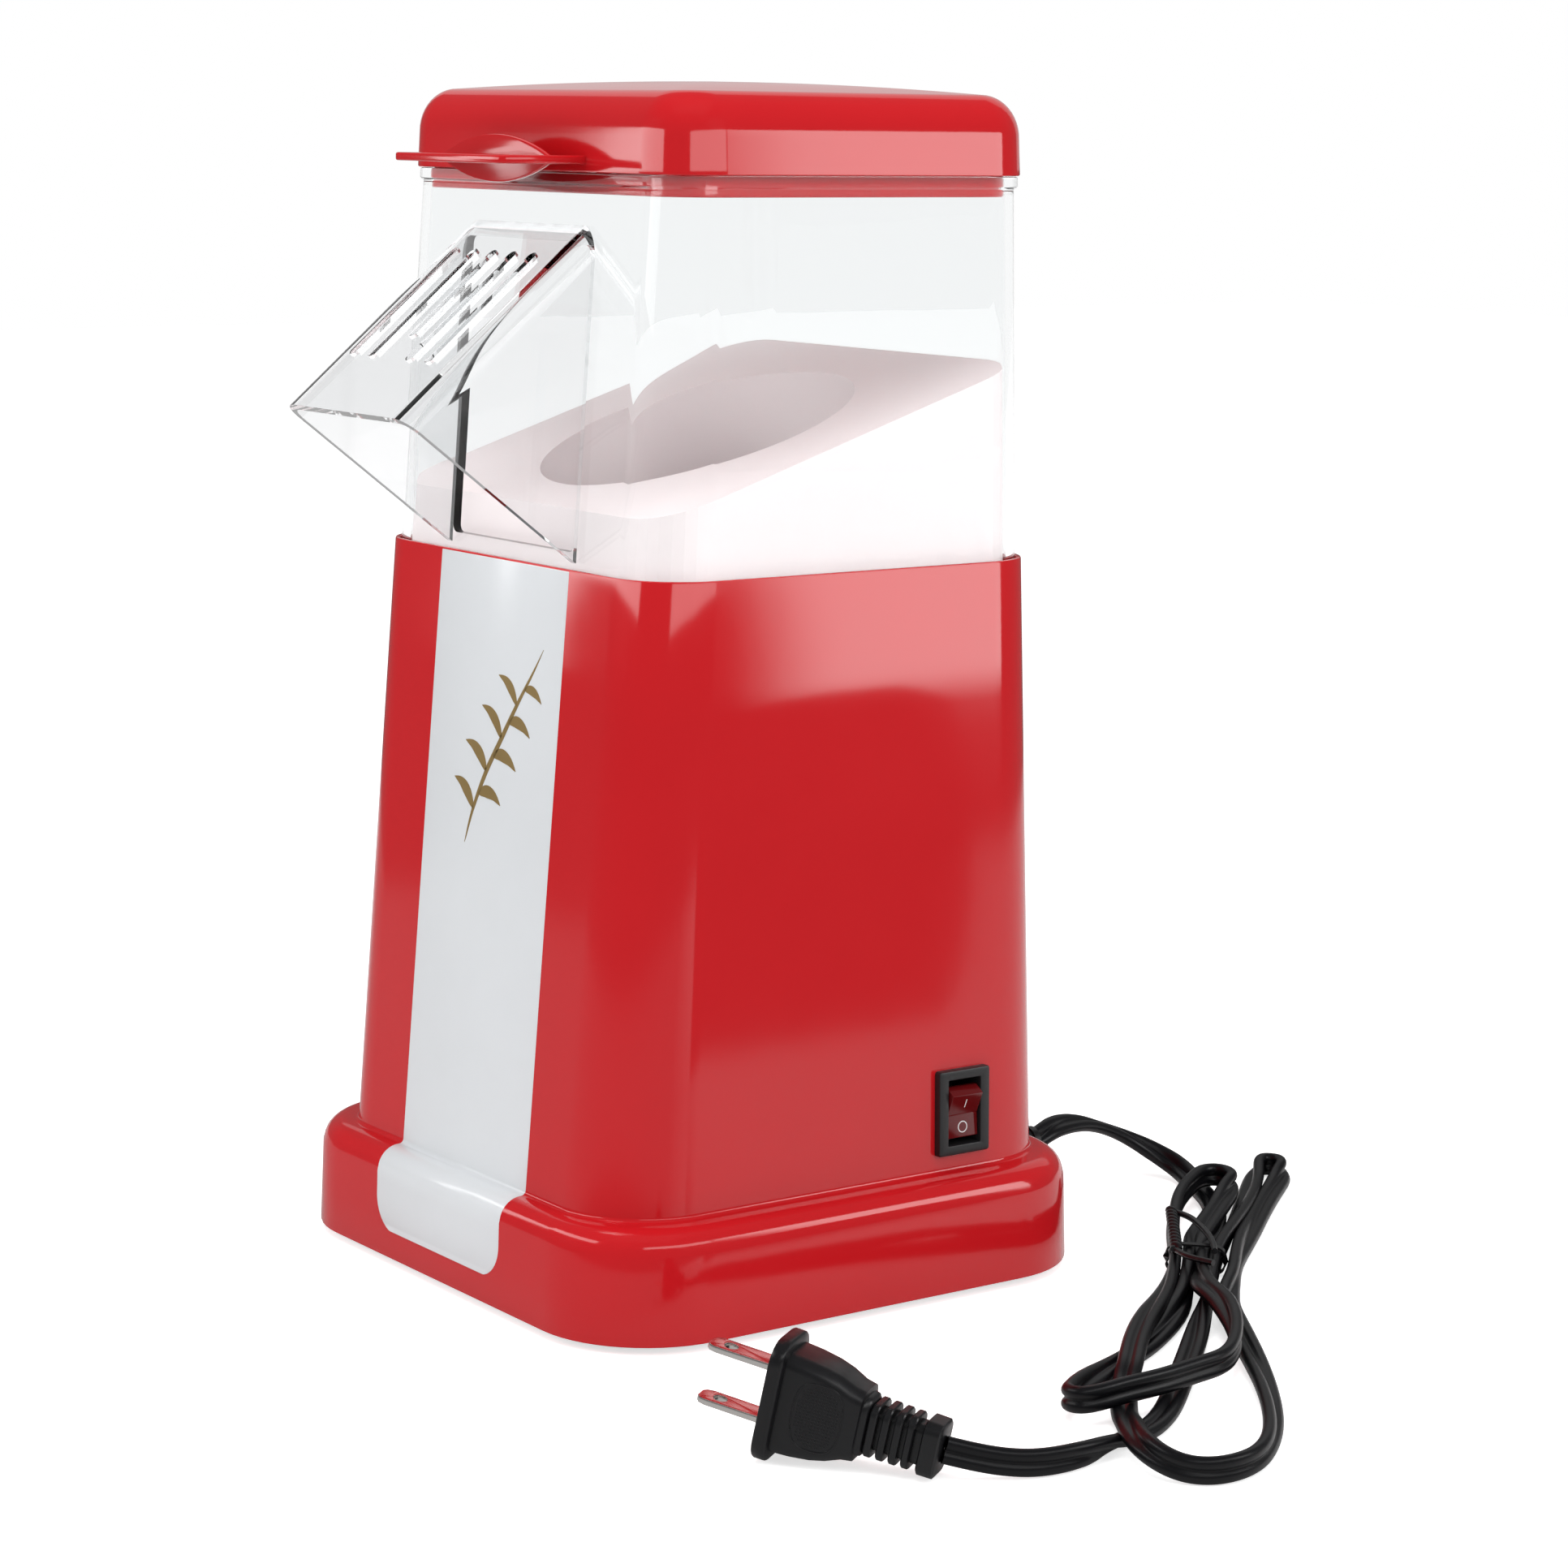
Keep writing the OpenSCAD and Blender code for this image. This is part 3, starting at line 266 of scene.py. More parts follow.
def meshPiece(name, verts, faces, finish, smooth=32):
    data = bpy.data.meshes.new(name)
    data.from_pydata([Vector(v) * mm for v in verts], [], faces)
    data.validate()
    obj = bpy.data.objects.new(name, data)
    scene.collection.objects.link(obj)
    tidyNormals(obj)
    data.materials.append(materials[finish])
    shade(obj, smooth)
    return obj


def tidyNormals(obj):
    bm = bmesh.new()
    bm.from_mesh(obj.data)
    bmesh.ops.remove_doubles(bm, verts=bm.verts, dist=1e-7)
    bmesh.ops.recalc_face_normals(bm, faces=bm.faces)
    bm.to_mesh(obj.data)
    bm.free()


def shade(obj, angle=32):
    obj.data.shade_smooth()
    obj.data.set_sharp_from_angle(angle=math.radians(angle))


def loftData(rings, loop=False, caps=True):
    n = len(rings[0])
    verts = [p for r in rings for p in r]
    faces = []
    pairs = [(s, s + 1) for s in range(len(rings) - 1)] + ([(len(rings) - 1, 0)] if loop else [])
    for a, b in pairs:
        for i in range(n):
            j = (i + 1) % n
            faces.append((a * n + i, a * n + j, b * n + j, b * n + i))
    if caps and not loop:
        faces.append(tuple(range(n))[::-1])
        faces.append(tuple((len(rings) - 1) * n + i for i in range(n)))
    return verts, faces


def loftPiece(name, rings, finish, loop=False, smooth=32):
    return meshPiece(name, *loftData(rings, loop), finish, smooth)


def cutWith(obj, others, operation="DIFFERENCE"):
    for other in others:
        mod = obj.modifiers.new("cut", "BOOLEAN")
        mod.operation = operation
        mod.solver = "EXACT"
        mod.object = other
    return bake(obj, others)


def bake(obj, helpers=()):
    # the evaluated mesh replaces the piece's own, and the helpers go
    dg = bpy.context.evaluated_depsgraph_get()
    data = bpy.data.meshes.new_from_object(obj.evaluated_get(dg))
    obj.modifiers.clear()
    obj.data = data
    for h in helpers:
        bpy.data.objects.remove(h)
    return obj


def bevel(obj, width, angle=40, segments=3):
    mod = obj.modifiers.new("round", "BEVEL")
    mod.width = width * mm
    mod.segments = segments
    mod.limit_method = "ANGLE"
    mod.angle_limit = math.radians(angle)
    mod.harden_normals = False
    return bake(obj)


def steadyNormals(obj):
    # large faces keep their own normals, so a clear wall isn't a lens
    mod = obj.modifiers.new("steady", "WEIGHTED_NORMAL")
    mod.mode = "FACE_AREA"
    mod.weight = 100
    mod.keep_sharp = True
    return bake(obj)


def prism(name, outline, depth, place, finish="red"):
    # outline in the local XY plane, pushed along local Z by depth, set in place by a matrix in mm
    n = len(outline)
    v = [place @ Vector((x, y, z)) for z in (0, depth) for x, y in outline]
    f = [tuple(range(n))[::-1], tuple(range(n, 2 * n))]
    f += [(i, (i + 1) % n, n + (i + 1) % n, n + i) for i in range(n)]
    return meshPiece(name, v, f, finish)


def roundedRect(w, h, r, steps=8):
    return [(p[0], p[1]) for p in ring(w, h, r, 0, 0, steps)]


def roundSection(r, steps=8):
    return [(r * math.cos(2 * math.pi * k / steps), r * math.sin(2 * math.pi * k / steps)) for k in range(steps)]


def squared(value, power):
    return math.copysign(abs(value) ** power, value)


def joinPieces(name, parts):
    bm = bmesh.new()
    for p in parts:
        bm.from_mesh(p.data)
    data = bpy.data.meshes.new(name)
    bm.to_mesh(data)
    bm.free()
    data.materials.append(parts[0].data.materials[0])
    obj = bpy.data.objects.new(name, data)
    scene.collection.objects.link(obj)
    for p in parts:
        bpy.data.objects.remove(p)
    return obj


def frameAt(origin, xAxis, yAxis):
    x, y = Vector(xAxis).normalized(), Vector(yAxis).normalized()
    z = x.cross(y)
    return Matrix.Translation(Vector(origin)) @ Matrix((x, y, z)).transposed().to_4x4()


# power cord
cord = {
    "height": 6.4, "thick": 3.2, "perSegment": 8, "relax": 14, "lift": 0.02, "tuckFrom": 150, "tuck": 0.0022,
    "points": [
        (24, 78, 18.5, 0), (24, 90, 18.5, 0), (24, 98.5, 18.6, 6), (22.4, 106, 20.8, 38), (18, 119, 19.2, 70),
        (15, 131, 15, 85), (16, 142, 9.8, 70), (24, 149, 4.4, 45), (33, 147, 2.6, 60), (42, 143, 1.8, 90),
        (55, 136, 1.8, 90), (66, 127, 1.8, 90), (80, 113, 1.9, 80), (89, 103, 2.8, 45), (97.8, 94, 4.2, 0),
        (111, 81, 5.6, 25), (126, 69, 8.3, 70), (136, 65, 8.4, 70), (147, 59, 7.8, 30), (159, 50, 6.9, 0),
        (170, 37, 6.8, 0), (172, 26, 6.8, 0), (174, 13, 6.8, 0), (174, 2, 6.8, 0), (174, -6, 6.4, 0),
        (172, -10, 6, 0), (168, -10, 5.6, 0), (165, -7, 5, 5), (159, 2, 4, 30), (149, 19, 2, 80), (141, 37, 1.8, 90),
        (130, 54, 1.9, 80), (118, 70, 3.2, 20), (96, 91, 4.2, 0), (87, 101, 5, 60), (77, 114, 5.1, 80),
        (64, 131, 5.3, 85), (57, 140, 6.2, 35), (54, 144, 6.8, 5), (50, 146, 6.8, 0), (46, 145, 6.8, 0),
        (45, 141, 6.8, 0), (48, 135, 6.8, 0), (57, 122, 6.4, 0), (67, 111, 4.2, 10), (82, 98, 3.4, 0),
        (95.3, 86.9, 4.2, 0), (113, 68, 3.6, 50), (129, 48, 5.1, 85), (143, 32, 5.2, 90), (155, 20, 4.6, 90),
        (160, 14, 1.9, 90), (175, 1, 1.8, 90), (188, -9, 5.3, 85), (201, -17, 6, 40), (210, -18, 4.6, 10),
        (216, -15, 3.4, 0), (220, -9, 3.4, 0), (219, 1, 3.4, 0), (212, 12, 3.4, 10), (198, 26, 2.8, 40),
        (179, 41, 2.4, 60), (159, 55, 1.8, 90), (141, 67, 1.8, 90), (125, 78, 2.2, 70), (114, 90, 3.4, 10),
        (100, 104, 3.4, 10), (80, 127, 2.2, 70), (61, 150, 1.8, 90), (48, 167, 2.2, 70), (43, 173, 3.4, 10),
        (39, 175, 3.4, 0), (36, 173, 3.4, 0), (37, 169, 3.4, 10), (45, 160, 2.2, 70), (63, 140, 2.6, 55),
        (84, 115, 3.4, 10), (99.3, 97.2, 4.2, 0), (116, 80, 3.4, 0), (130, 65, 2.8, 40), (145, 49, 1.8, 90),
        (162, 30, 1.8, 90), (178, 12, 1.8, 90), (186, 0, 1.8, 90), (189, -9, 1.8, 85), (191, -17, 2.4, 55),
        (195, -28, 3.4, 10), (194, -40, 3.4, 0), (189, -49, 4.3, 0), (183.5, -58, 6.9, 0),
    ],
}


def smoothRoute(pts, steps):
    out = []
    for i in range(len(pts) - 1):
        a, b, c, d = (Vector(pts[max(0, min(len(pts) - 1, i + k))]) for k in (-1, 0, 1, 2))
        for k in range(steps):
            t = k / steps
            out.append(0.5 * (2 * b + (c - a) * t + (2 * a - 5 * b + 4 * c - d) * t * t + (3 * b - a - 3 * c + d) * t ** 3))
    return out + [Vector(pts[-1])]


def relax(pts, passes):
    # evens out the bends between the fixed ends
    for k in range(passes):
        pts = pts[:1] + [a * 0.25 + b * 0.5 + c * 0.25 for a, b, c in zip(pts, pts[1:], pts[2:])] + pts[-1:]
    return pts


def twinSection(height, thick, steps=12):
    # two round cores side by side, joined by a thin web
    r, gap = thick / 2, height / 2 - thick / 2
    pts = []
    for side in (1, -1):
        for k in range(steps + 1):
            a = math.radians(-150 + 300 * k / steps)
            pts.append((side * (gap + r * math.cos(a)), side * r * math.sin(a)))
    return pts


def closeGroup(g, shape, start, end):
    real = g.nodes.new("GeometryNodeRealizeInstances")
    dress = g.nodes.new("GeometryNodeSetMaterial")
    g.links.new(shape, real.inputs[0])
    g.links.new(real.outputs[0], dress.inputs["Geometry"])
    g.links.new(start.outputs["Material"], dress.inputs["Material"])
    g.links.new(dress.outputs[0], end.inputs[0])
    return g


def sweepGroup():
    # sweeps a section along a path and gives it a material
    inputs = [("Geometry", "Geometry"), ("Section", "Object"), ("Material", "Material")]
    g, n, link, start, end = newGroup("sweepLead", "GeometryNodeTree", inputs, [("Geometry", "Geometry")])
    info = n.new("GeometryNodeObjectInfo")
    normal = n.new("GeometryNodeSetCurveNormal")
    normal.mode = "Z_UP"
    sweep = n.new("GeometryNodeCurveToMesh")
    sweep.inputs["Fill Caps"].default_value = True
    link(start.outputs["Section"], info.inputs["Object"])
    link(start.outputs["Geometry"], normal.inputs["Curve"])
    link(normal.outputs[0], sweep.inputs["Curve"])
    link(info.outputs["Geometry"], sweep.inputs["Profile Curve"])
    return closeGroup(g, sweep.outputs[0], start, end)


def socketId(group, name):
    return next(s.identifier for s in group.interface.items_tree if s.name == name and s.in_out == "INPUT")


sweepLead = sweepGroup()


def curveObject(name, pts, tilts=None, closed=False):
    data = bpy.data.curves.new(name, "CURVE")
    data.dimensions = "3D"
    spline = data.splines.new("POLY")
    spline.points.add(len(pts) - 1)
    for i, p in enumerate(pts):
        spline.points[i].co = (p[0] * mm, p[1] * mm, p[2] * mm, 1)
        spline.points[i].tilt = tilts[i] if tilts else 0
    spline.use_cyclic_u = closed
    obj = bpy.data.objects.new(name, data)
    scene.collection.objects.link(obj)
    return obj


def sweep(name, pts, tilts, section, finish):
    path = curveObject(name + "Path", pts, tilts)
    profile = curveObject(name + "Section", [(x, y, 0) for x, y in section], closed=True)
    mod = path.modifiers.new("sweep", "NODES")
    mod.node_group = sweepLead
    mod[socketId(sweepLead, "Section")] = profile
    mod[socketId(sweepLead, "Material")] = materials[finish]
    dg = bpy.context.evaluated_depsgraph_get()
    data = bpy.data.meshes.new_from_object(path.evaluated_get(dg))
    obj = bpy.data.objects.new(name, data)
    scene.collection.objects.link(obj)
    for o in (path, profile):
        bpy.data.objects.remove(o)
    tidyNormals(obj)
    shade(obj, 50)
    return obj


def makeCord(s):
    line = relax(smoothRoute(s["points"], s["perSegment"]), s["relax"])
    core = s["thick"] / 2
    pts = []
    for x, y, z, roll in line:
        # the far bends come in a little, and the lead's underside stays on the floor
        low = core + (s["height"] / 2 - core) * abs(math.cos(math.radians(roll))) + s["lift"]
        pts.append((x - s["tuck"] * max(x - s["tuckFrom"], 0), y, max(z, low)))
    tilts = [math.radians(90 - p[3]) for p in line]
    lead = sweep("powerLead", pts, tilts, twinSection(s["height"], s["thick"]), "cordBlack")
    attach(lead, "base")
    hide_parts("power_cord")
    return lead


makeCord(cord)
print("cord made")

# housing


def circleLike(rounded, radius, z):
    out = []
    for x, y, _ in rounded:
        a = math.atan2(y, x)
        out.append((radius * math.cos(a), radius * math.sin(a), z))
    return out


def archRings(e, h):
    # (how far in from the edge, height) round the ledge's rounded edge
    for k in range(1, 11):
        a = math.radians(90 * k / 10)
        yield e * math.cos(a) - e - body["taper"], h - e + e * math.sin(a)


def coveRings(h):
    # (how far out from the body, height) up the cove where the body stands on the ledge
    for k in range(6):
        a = math.radians(90 * k / 5)
        yield body["cove"] * (1 - math.sin(a)), h + body["cove"] * (1 - math.cos(a))


def caseOuter():
    # rings of the outside from the rim to just under the body's top edge
    e, h, w, d, r = (body[k] for k in ("edge", "plinthH", "plinthW", "plinthD", "plinthR"))
    rings = [plinthRing(body["rim"] + 0.6, 0), plinthRing(12, 0), plinthRing(h - e, 0)]
    rings += [ring(w + 2 * out, d + 2 * out, r + out + body["taper"], 0, z) for out, z in archRings(e, h)]
    rings += [bodyRing(z, -out) for out, z in coveRings(h)]
    return rings + [bodyRing(z, 0) for z in (60, 90, 120, 150)]


housing = {"switchHole": (13, 19, 0.5), "switchAt": (60, 35.3, 45.6), "reliefR": 5, "reliefAt": (24, 88, 18.5),
           "cutDeep": 20}


def makeHousing(s):
    rim, top, seat, wall = body["rimT"], body["topZ"], body["seatZ"], body["wall"]
    ledge, foot, mouth = body["plinthH"], body["rim"], body["mouth"]
    rings = [plinthRing(foot, 0.5), plinthRing(foot + 0.15, 0.15)] + caseOuter()
    rings += [bodyRing(top - 0.4, 0), bodyRing(top - 0.1, 0.12), bodyRing(top, 0.4)]
    rings += [bodyRing(top, rim - 0.3), bodyRing(top - 0.3, rim), bodyRing(seat, rim)]
    rings += [circleLike(bodyRing(seat, rim), mouth, z) for z in (seat, body["deckZ"])]
    rings += [bodyRing(body["deckZ"], wall), bodyRing(ledge - wall, wall)]
    rings += [plinthRing(ledge - body["edge"], wall), plinthRing(foot, wall)]
    obj = loftPiece("housing", rings, "red", loop=True, smooth=30)
    upright = (0, 0, 1)
    cutter = prism("switchHole", roundedRect(*s["switchHole"]), s["cutDeep"], frameAt(s["switchAt"], (0, 1, 0), upright))
    circle = roundSection(s["reliefR"], 48)
    relief = prism("reliefHole", circle, s["cutDeep"], frameAt(s["reliefAt"], (1, 0, 0), upright))
    cutWith(obj, [cutter, relief])
    tidyNormals(obj)
    shade(obj, 30)
    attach(obj, "base")
    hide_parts("main_housing")
    return obj


makeHousing(housing)
print("housing made")

panel = {"half": 29.8, "lowZ": 9, "r": 9, "proud": 0.12, "thick": 1.3, "round": 0.35}


def frontProfile():
    # (y, z) down the middle of the front, from the panel's low end to the top rim
    e, h, half = body["edge"], body["plinthH"], body["plinthD"] / 2
    low = (9, 9.4, 10, 11, 12, 13, 14, 15, 16, 17, 18, 20, 22, 24)
    pts = [(-(half - body["taper"] * z / h), z) for z in low]
    pts += [(-(half + out), z) for out, z in archRings(e, h)]
    pts += [(-(panelFront(z) + out), z) for out, z in coveRings(h)]
    return pts + [(-panelFront(z), z) for z in (60, 90, 120, 150, 183.9, 184.3)]


def makePanel(s):
    prof = frontProfile()
    rows = []
    for i, (y, z) in enumerate(prof):
        a, b = prof[max(i - 1, 0)], prof[min(i + 1, len(prof) - 1)]
        t = Vector((b[0] - a[0], b[1] - a[1])).normalized()
        n = Vector((-t[1], t[0]))  # points forward and up
        half = s["half"]
        if z < s["lowZ"] + s["r"]:
            half = s["half"] - s["r"] + math.sqrt(max(s["r"] ** 2 - (s["lowZ"] + s["r"] - z) ** 2, 0))
        drop = s["round"] if i in (0, len(prof) - 1) else 0
        proud, edge = s["proud"], s["round"]
        cols = [(-half, -s["thick"]), (-half, proud - edge), (-half + 0.1, proud - 0.1), (-half + edge, proud),
                (half - edge, proud), (half - 0.1, proud - 0.1), (half, proud - edge), (half, -s["thick"])]
        cols = [(x, o - drop if o > 0 else o) for x, o in cols]
        rows.append([(x, y + n[0] * o, z + n[1] * o) for x, o in cols])
    obj = loftPiece("frontPanel", rows, "white", smooth=35)
    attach(obj, "base")
    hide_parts("front_panel")
    return obj


flourish = {"lift": 0.02, "thick": 0.05, "sunk": 0.2,
            "strokes": [
                {"wide": 1.6, "points": [(-9.5, 112), (-6.5, 121), (-1.5, 131), (4.5, 140), (10.5, 149), (17, 158),
                                         (21, 164)]},
                {"wide": 3.2, "points": [(-6.5, 121), (-9.4, 124.5), (-12.6, 126.8), (-16.2, 127.8)]},
                {"wide": 3.2, "points": [(-4.4, 125), (-1.2, 126), (2.6, 125.4), (6, 123.4)]},
                {"wide": 3.2, "points": [(-1.5, 131), (-4.6, 134.6), (-8.2, 136.8), (-12, 137.6)]},
                {"wide": 3.2, "points": [(1.2, 135.2), (4.6, 136), (8.6, 135), (12, 132.8)]},
                {"wide": 3, "points": [(4.5, 140), (1.6, 143.8), (-1.8, 146.2), (-5.4, 147.2)]},
                {"wide": 3, "points": [(7.4, 144.4), (10.6, 145), (14.2, 144), (17.4, 141.8)]},
                {"wide": 2.7, "points": [(10.5, 149), (7.8, 152.4), (4.8, 154.6), (1.4, 155.6)]},
                {"wide": 2.4, "points": [(13.6, 153.4), (16.4, 153.6), (19.2, 152.6), (21.6, 150.8)]},
            ]}


def makeFlourish(s):
    # tapered strokes that lie on the face of the panel
    parts = []
    for k, stroke in enumerate(s["strokes"]):
        line = smoothRoute([(x, z, 0, 0) for x, z in stroke["points"]], 8)
        verts, faces = [], []
        for i, p in enumerate(line):
            a, b = line[max(i - 1, 0)], line[min(i + 1, len(line) - 1)]
            along = Vector((b[0] - a[0], b[1] - a[1])).normalized()
            t = i / (len(line) - 1)
            half = stroke["wide"] / 2 * max(math.sin(math.pi * t ** 0.8), 0.08)
            for side in (half, -half):
                for lift in (s["lift"] + s["thick"], -s["sunk"]):
                    x, z = p[0] - along[1] * side, p[1] + along[0] * side
                    verts.append((x, -panelFront(z) - panel["proud"] - lift, z))
        for i in range(len(line) - 1):
            a, b = 4 * i, 4 * i + 4
            faces += [(a, b, b + 2, a + 2), (a + 1, a + 3, b + 3, b + 1)]
            faces += [(a, a + 1, b + 1, b), (a + 2, b + 2, b + 3, a + 3)]
        last = 4 * (len(line) - 1)
        faces += [(0, 2, 3, 1), (last, last + 1, last + 3, last + 2)]
        parts.append(meshPiece("stroke%d" % k, verts, faces, "gold"))
    obj = joinPieces("panelFlourish", parts)
    shade(obj, 30)
    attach(obj, "base")


makePanel(panel)
makeFlourish(flourish)
print("panel made")

# clear hood


def makeHood(s):
    low, neck, top, wall, out, mid = (s[k] for k in ("footZ", "flangeZ", "topZ", "wall", "out", "midZ"))
    # (height, how far in from the outside), up the outside, over the flange and down the inside
    steps = [(low, 0.4), (low + 0.4, 0), (low + 2, 0), (mid, 0), (neck - 2, 0), (neck - 0.4, 0), (neck, -0.3),
             (neck + 0.4, 0.2 - out), (neck + 0.7, -out), (top - 0.4, -out), (top - 0.1, 0.15 - out), (top, 0.5 - out),
             (top, wall - 0.4), (top - 0.4, wall), (top - 2, wall), (mid, wall), (low + 2, wall), (low + 0.4, wall),
             (low, wall - 0.4)]
    obj = loftPiece("clearHood", [hoodRing(z, t) for z, t in steps], "clear", loop=True, smooth=40)
    place = frameAt((0, -30, s["windowZ"]), (1, 0, 0), (0, 0, 1))
    cutWith(obj, [prism("window", roundedRect(*s["window"]), 30, place, "clear")])
    tidyNormals(obj)
    shade(obj, 40)
    steadyNormals(obj)
    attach(obj, "hood")
    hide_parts("hood_shell")
    return obj


makeHood(hood)
print("hood made")

chute = {"width": 60, "wall": 2.2, "fold": 6, "topZ": 267, "lip": (-103.2, 222.4), "lowZ": 186, "deep": 90, "slots": 5,
         "slotW": 3, "slotLen": 37, "pitch": 9, "slotFrom": 12, "aside": 3, "middleShort": 8}


def makeChute(s):
    top = Vector((0, -hoodFront(s["topZ"]), s["topZ"]))
    lip = Vector((0, *s["lip"]))
    down = (lip - top).normalized()
    out = Vector((0, down[2], -down[1])).normalized()
    if out[2] < 0:
        out = -out
    w, f, t, deep = s["width"] / 2, s["fold"], s["wall"], s["deep"]

    def arch(half, r, drop):
        turn = [math.radians(a) for a in range(0, 91, 9)]
        pts = [(-half, -deep)] + [(-half + r - r * math.cos(a), -drop - r + r * math.sin(a)) for a in turn]
        pts += [(half - r + r * math.sin(a), -drop - r + r * math.cos(a)) for a in turn]
        return pts + [(half, -deep)]

    outer, inner = arch(w, f, 0), arch(w - t, f - t, t)
    section = outer + inner[::-1]
    rings = [[tuple(top + down * along + Vector((x, 0, 0)) + out * h) for x, h in section]
             for along in (-60, 0, 20, 40, 60, 100)]
    obj = loftPiece("pourChute", rings, "chuteClear", smooth=30)
    wedge = [(0.02 - hoodFront(z), z) for z in (s["topZ"], s["lowZ"])]
    wedge.insert(1, s["lip"])
    keep = prism("wedge", wedge, 80, frameAt((-40, 0, 0), (0, 1, 0), (0, 0, 1)), "chuteClear")
    cutWith(obj, [keep], "INTERSECT")
    cutters = []
    mid = (s["slots"] - 1) / 2
    side = Vector((1, 0, 0))
    turned = Matrix((side, down, side.cross(down))).transposed().to_4x4()
    for k in range(s["slots"]):
        long = s["slotLen"] - s["middleShort"] if k == mid else s["slotLen"]
        r = s["slotW"] / 2
        outline = [(r * math.cos(math.radians(a)), -r * math.sin(math.radians(a))) for a in range(0, 181, 15)]
        outline += [(r * math.cos(math.radians(a)), long - r * math.sin(math.radians(a))) for a in range(180, 361, 15)]
        start = top + down * s["slotFrom"] + side * ((k - mid) * s["pitch"] - s["aside"]) + out * 2
        cutters.append(prism("slot%d" % k, outline, 6, Matrix.Translation(start) @ turned, "chuteClear"))
    cutWith(obj, cutters)
    tidyNormals(obj)
    bevel(obj, 0.12, 50, 1)
    tidyNormals(obj)
    shade(obj, 25)
    steadyNormals(obj)
    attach(obj, "hood")
    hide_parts("pour_chute")
    return obj


makeChute(chute)
print("chute made")

# lid
lid = {"w": 127.8, "d": 111.2, "r": 15.2, "yc": 5, "z": 279.6, "side": 9, "roundH": 10.8, "roundW": 9.6, "crown": 2.5,
       "wall": 2.2, "skirt": 5, "gap": 2.55, "tabW": 51.8, "tabOut": 24, "tabT": 2, "tabZ": 281.6, "guardH": 11.6,
       "guardY": 9, "guardT": 1.6}


def lidRing(s, z, t):
    return ring(s["w"] - 2 * t, s["d"] - 2 * t, max(s["r"] - t, 1), s["yc"], z)


def lidShell(s, t):
    sideZ, cut = s["z"] + s["side"], 0.4 + s["roundW"]
    rings = [lidRing(s, sideZ, t + 0.4)]
    for k in range(1, 13):
        a = math.radians(90 * k / 12)
        rings.append(lidRing(s, sideZ + (s["roundH"] - t) * math.sin(a), cut - (s["roundW"] - t) * math.cos(a)))
    w, d, r = s["w"] - 2 * cut, s["d"] - 2 * cut, max(s["r"] - cut, 1)
    for k in range(1, 12):
        f = 1 - k * 0.085
        rings.append(ring(w * f, d * f, r * f, s["yc"], sideZ + s["roundH"] - t + s["crown"] * (1 - f * f)))
    return rings


def makeLid(s):
    z, t, g = s["z"], s["wall"], s["gap"]
    outer = [lidRing(s, z + up, inset) for up, inset in ((0, 0.35), (0.12, 0.1), (0.4, 0), (1.6, 0.06))] + lidShell(s, 0)
    low = hood["topZ"] - s["skirt"]
    steps = [(z + t, g + t), (low + 0.3, g + t), (low, g + t - 0.3), (low, g + 0.3), (low + 0.3, g), (z, g)]
    inner = [hoodRing(height, inset) for height, inset in steps]
    # top inside, then down the skirt and back out under the shelf
    shellIn = lidShell(s, t)[::-1]
    verts, faces = loftData(outer, False, False)
    n = len(outer[0])
    faces.append(tuple((len(outer) - 1) * n + i for i in range(n)))
    under = shellIn + [lidRing(s, z + t, t)] + inner + [lidRing(s, z, 0.35)]
    v2, f2 = loftData(under, False, False)
    base = len(verts)
    faces += [tuple(base + i for i in f) for f in f2] + [tuple(base + i for i in range(n))]
    obj = meshPiece("lidShell", verts + v2, faces, "red", 30)
    steadyNormals(obj)
    front = s["yc"] - s["d"] / 2
    reach = s["tabOut"]
    place = Matrix.Translation((0, front - reach / 2 + 2, s["tabZ"]))
    plate = prism("tabPlate", roundedRect(s["tabW"], reach + 4, 4), s["tabT"], place)
    bevel(plate, 0.5, 40, 3)
    h, w = s["guardH"] / 2, s["tabW"] / 2
    arcR = (w * w + h * h) / (2 * h)
    arcA = math.asin(w / arcR)
    sweepA = [arcA - 2 * arcA * k / 24 for k in range(25)]
    top = [(arcR * math.sin(a), h - arcR + arcR * math.cos(a)) for a in sweepA]
    lens = top + [(-x, -y) for x, y in top[1:-1]]
    place = frameAt((0, front - s["guardY"] + s["guardT"] / 2, s["tabZ"] + s["tabT"] / 2), (1, 0, 0), (0, 0, 1))
    guard = prism("guard", lens, s["guardT"], place)
    bevel(guard, 0.4, 40, 2)
    for o in (plate, guard):
        shade(o, 35)
    joined = joinPieces("lidTop", [obj, plate, guard])
    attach(joined, "lid")
    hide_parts("lid")
    return joined


makeLid(lid)
print("lid made")

# switch
switch = {"w": 16.2, "h": 22, "z": 45.6, "y": 35.3, "proud": 2, "holeW": 10.2, "holeH": 17, "deep": 10, "boxW": 12.6,
          "boxH": 18.6, "boxDeep": 15, "rockerW": 9.6, "rockerH": 15, "pivot": 3.2, "turn": 11, "valley": 4.2, "slope": 1.4}


def bodySide(z):
    return lerp(body["wLow"], body["wTop"], (z - body["plinthH"]) / (body["topZ"] - body["plinthH"])) / 2


def sideWallPlace(s):
    tilt = math.atan((body["wLow"] - body["wTop"]) / 2 / (body["topZ"] - body["plinthH"]))
    return frameAt((bodySide(s["z"]), s["y"], s["z"]), (math.cos(tilt), 0, math.sin(tilt)), (0, 1, 0))


def across(place, x, w, h, r, steps=6):
    # a rounded cross-section at distance x along the local X axis
    return [place @ Vector((x, p[0], p[1])) for p in ring(w, h, r, 0, 0, steps)]


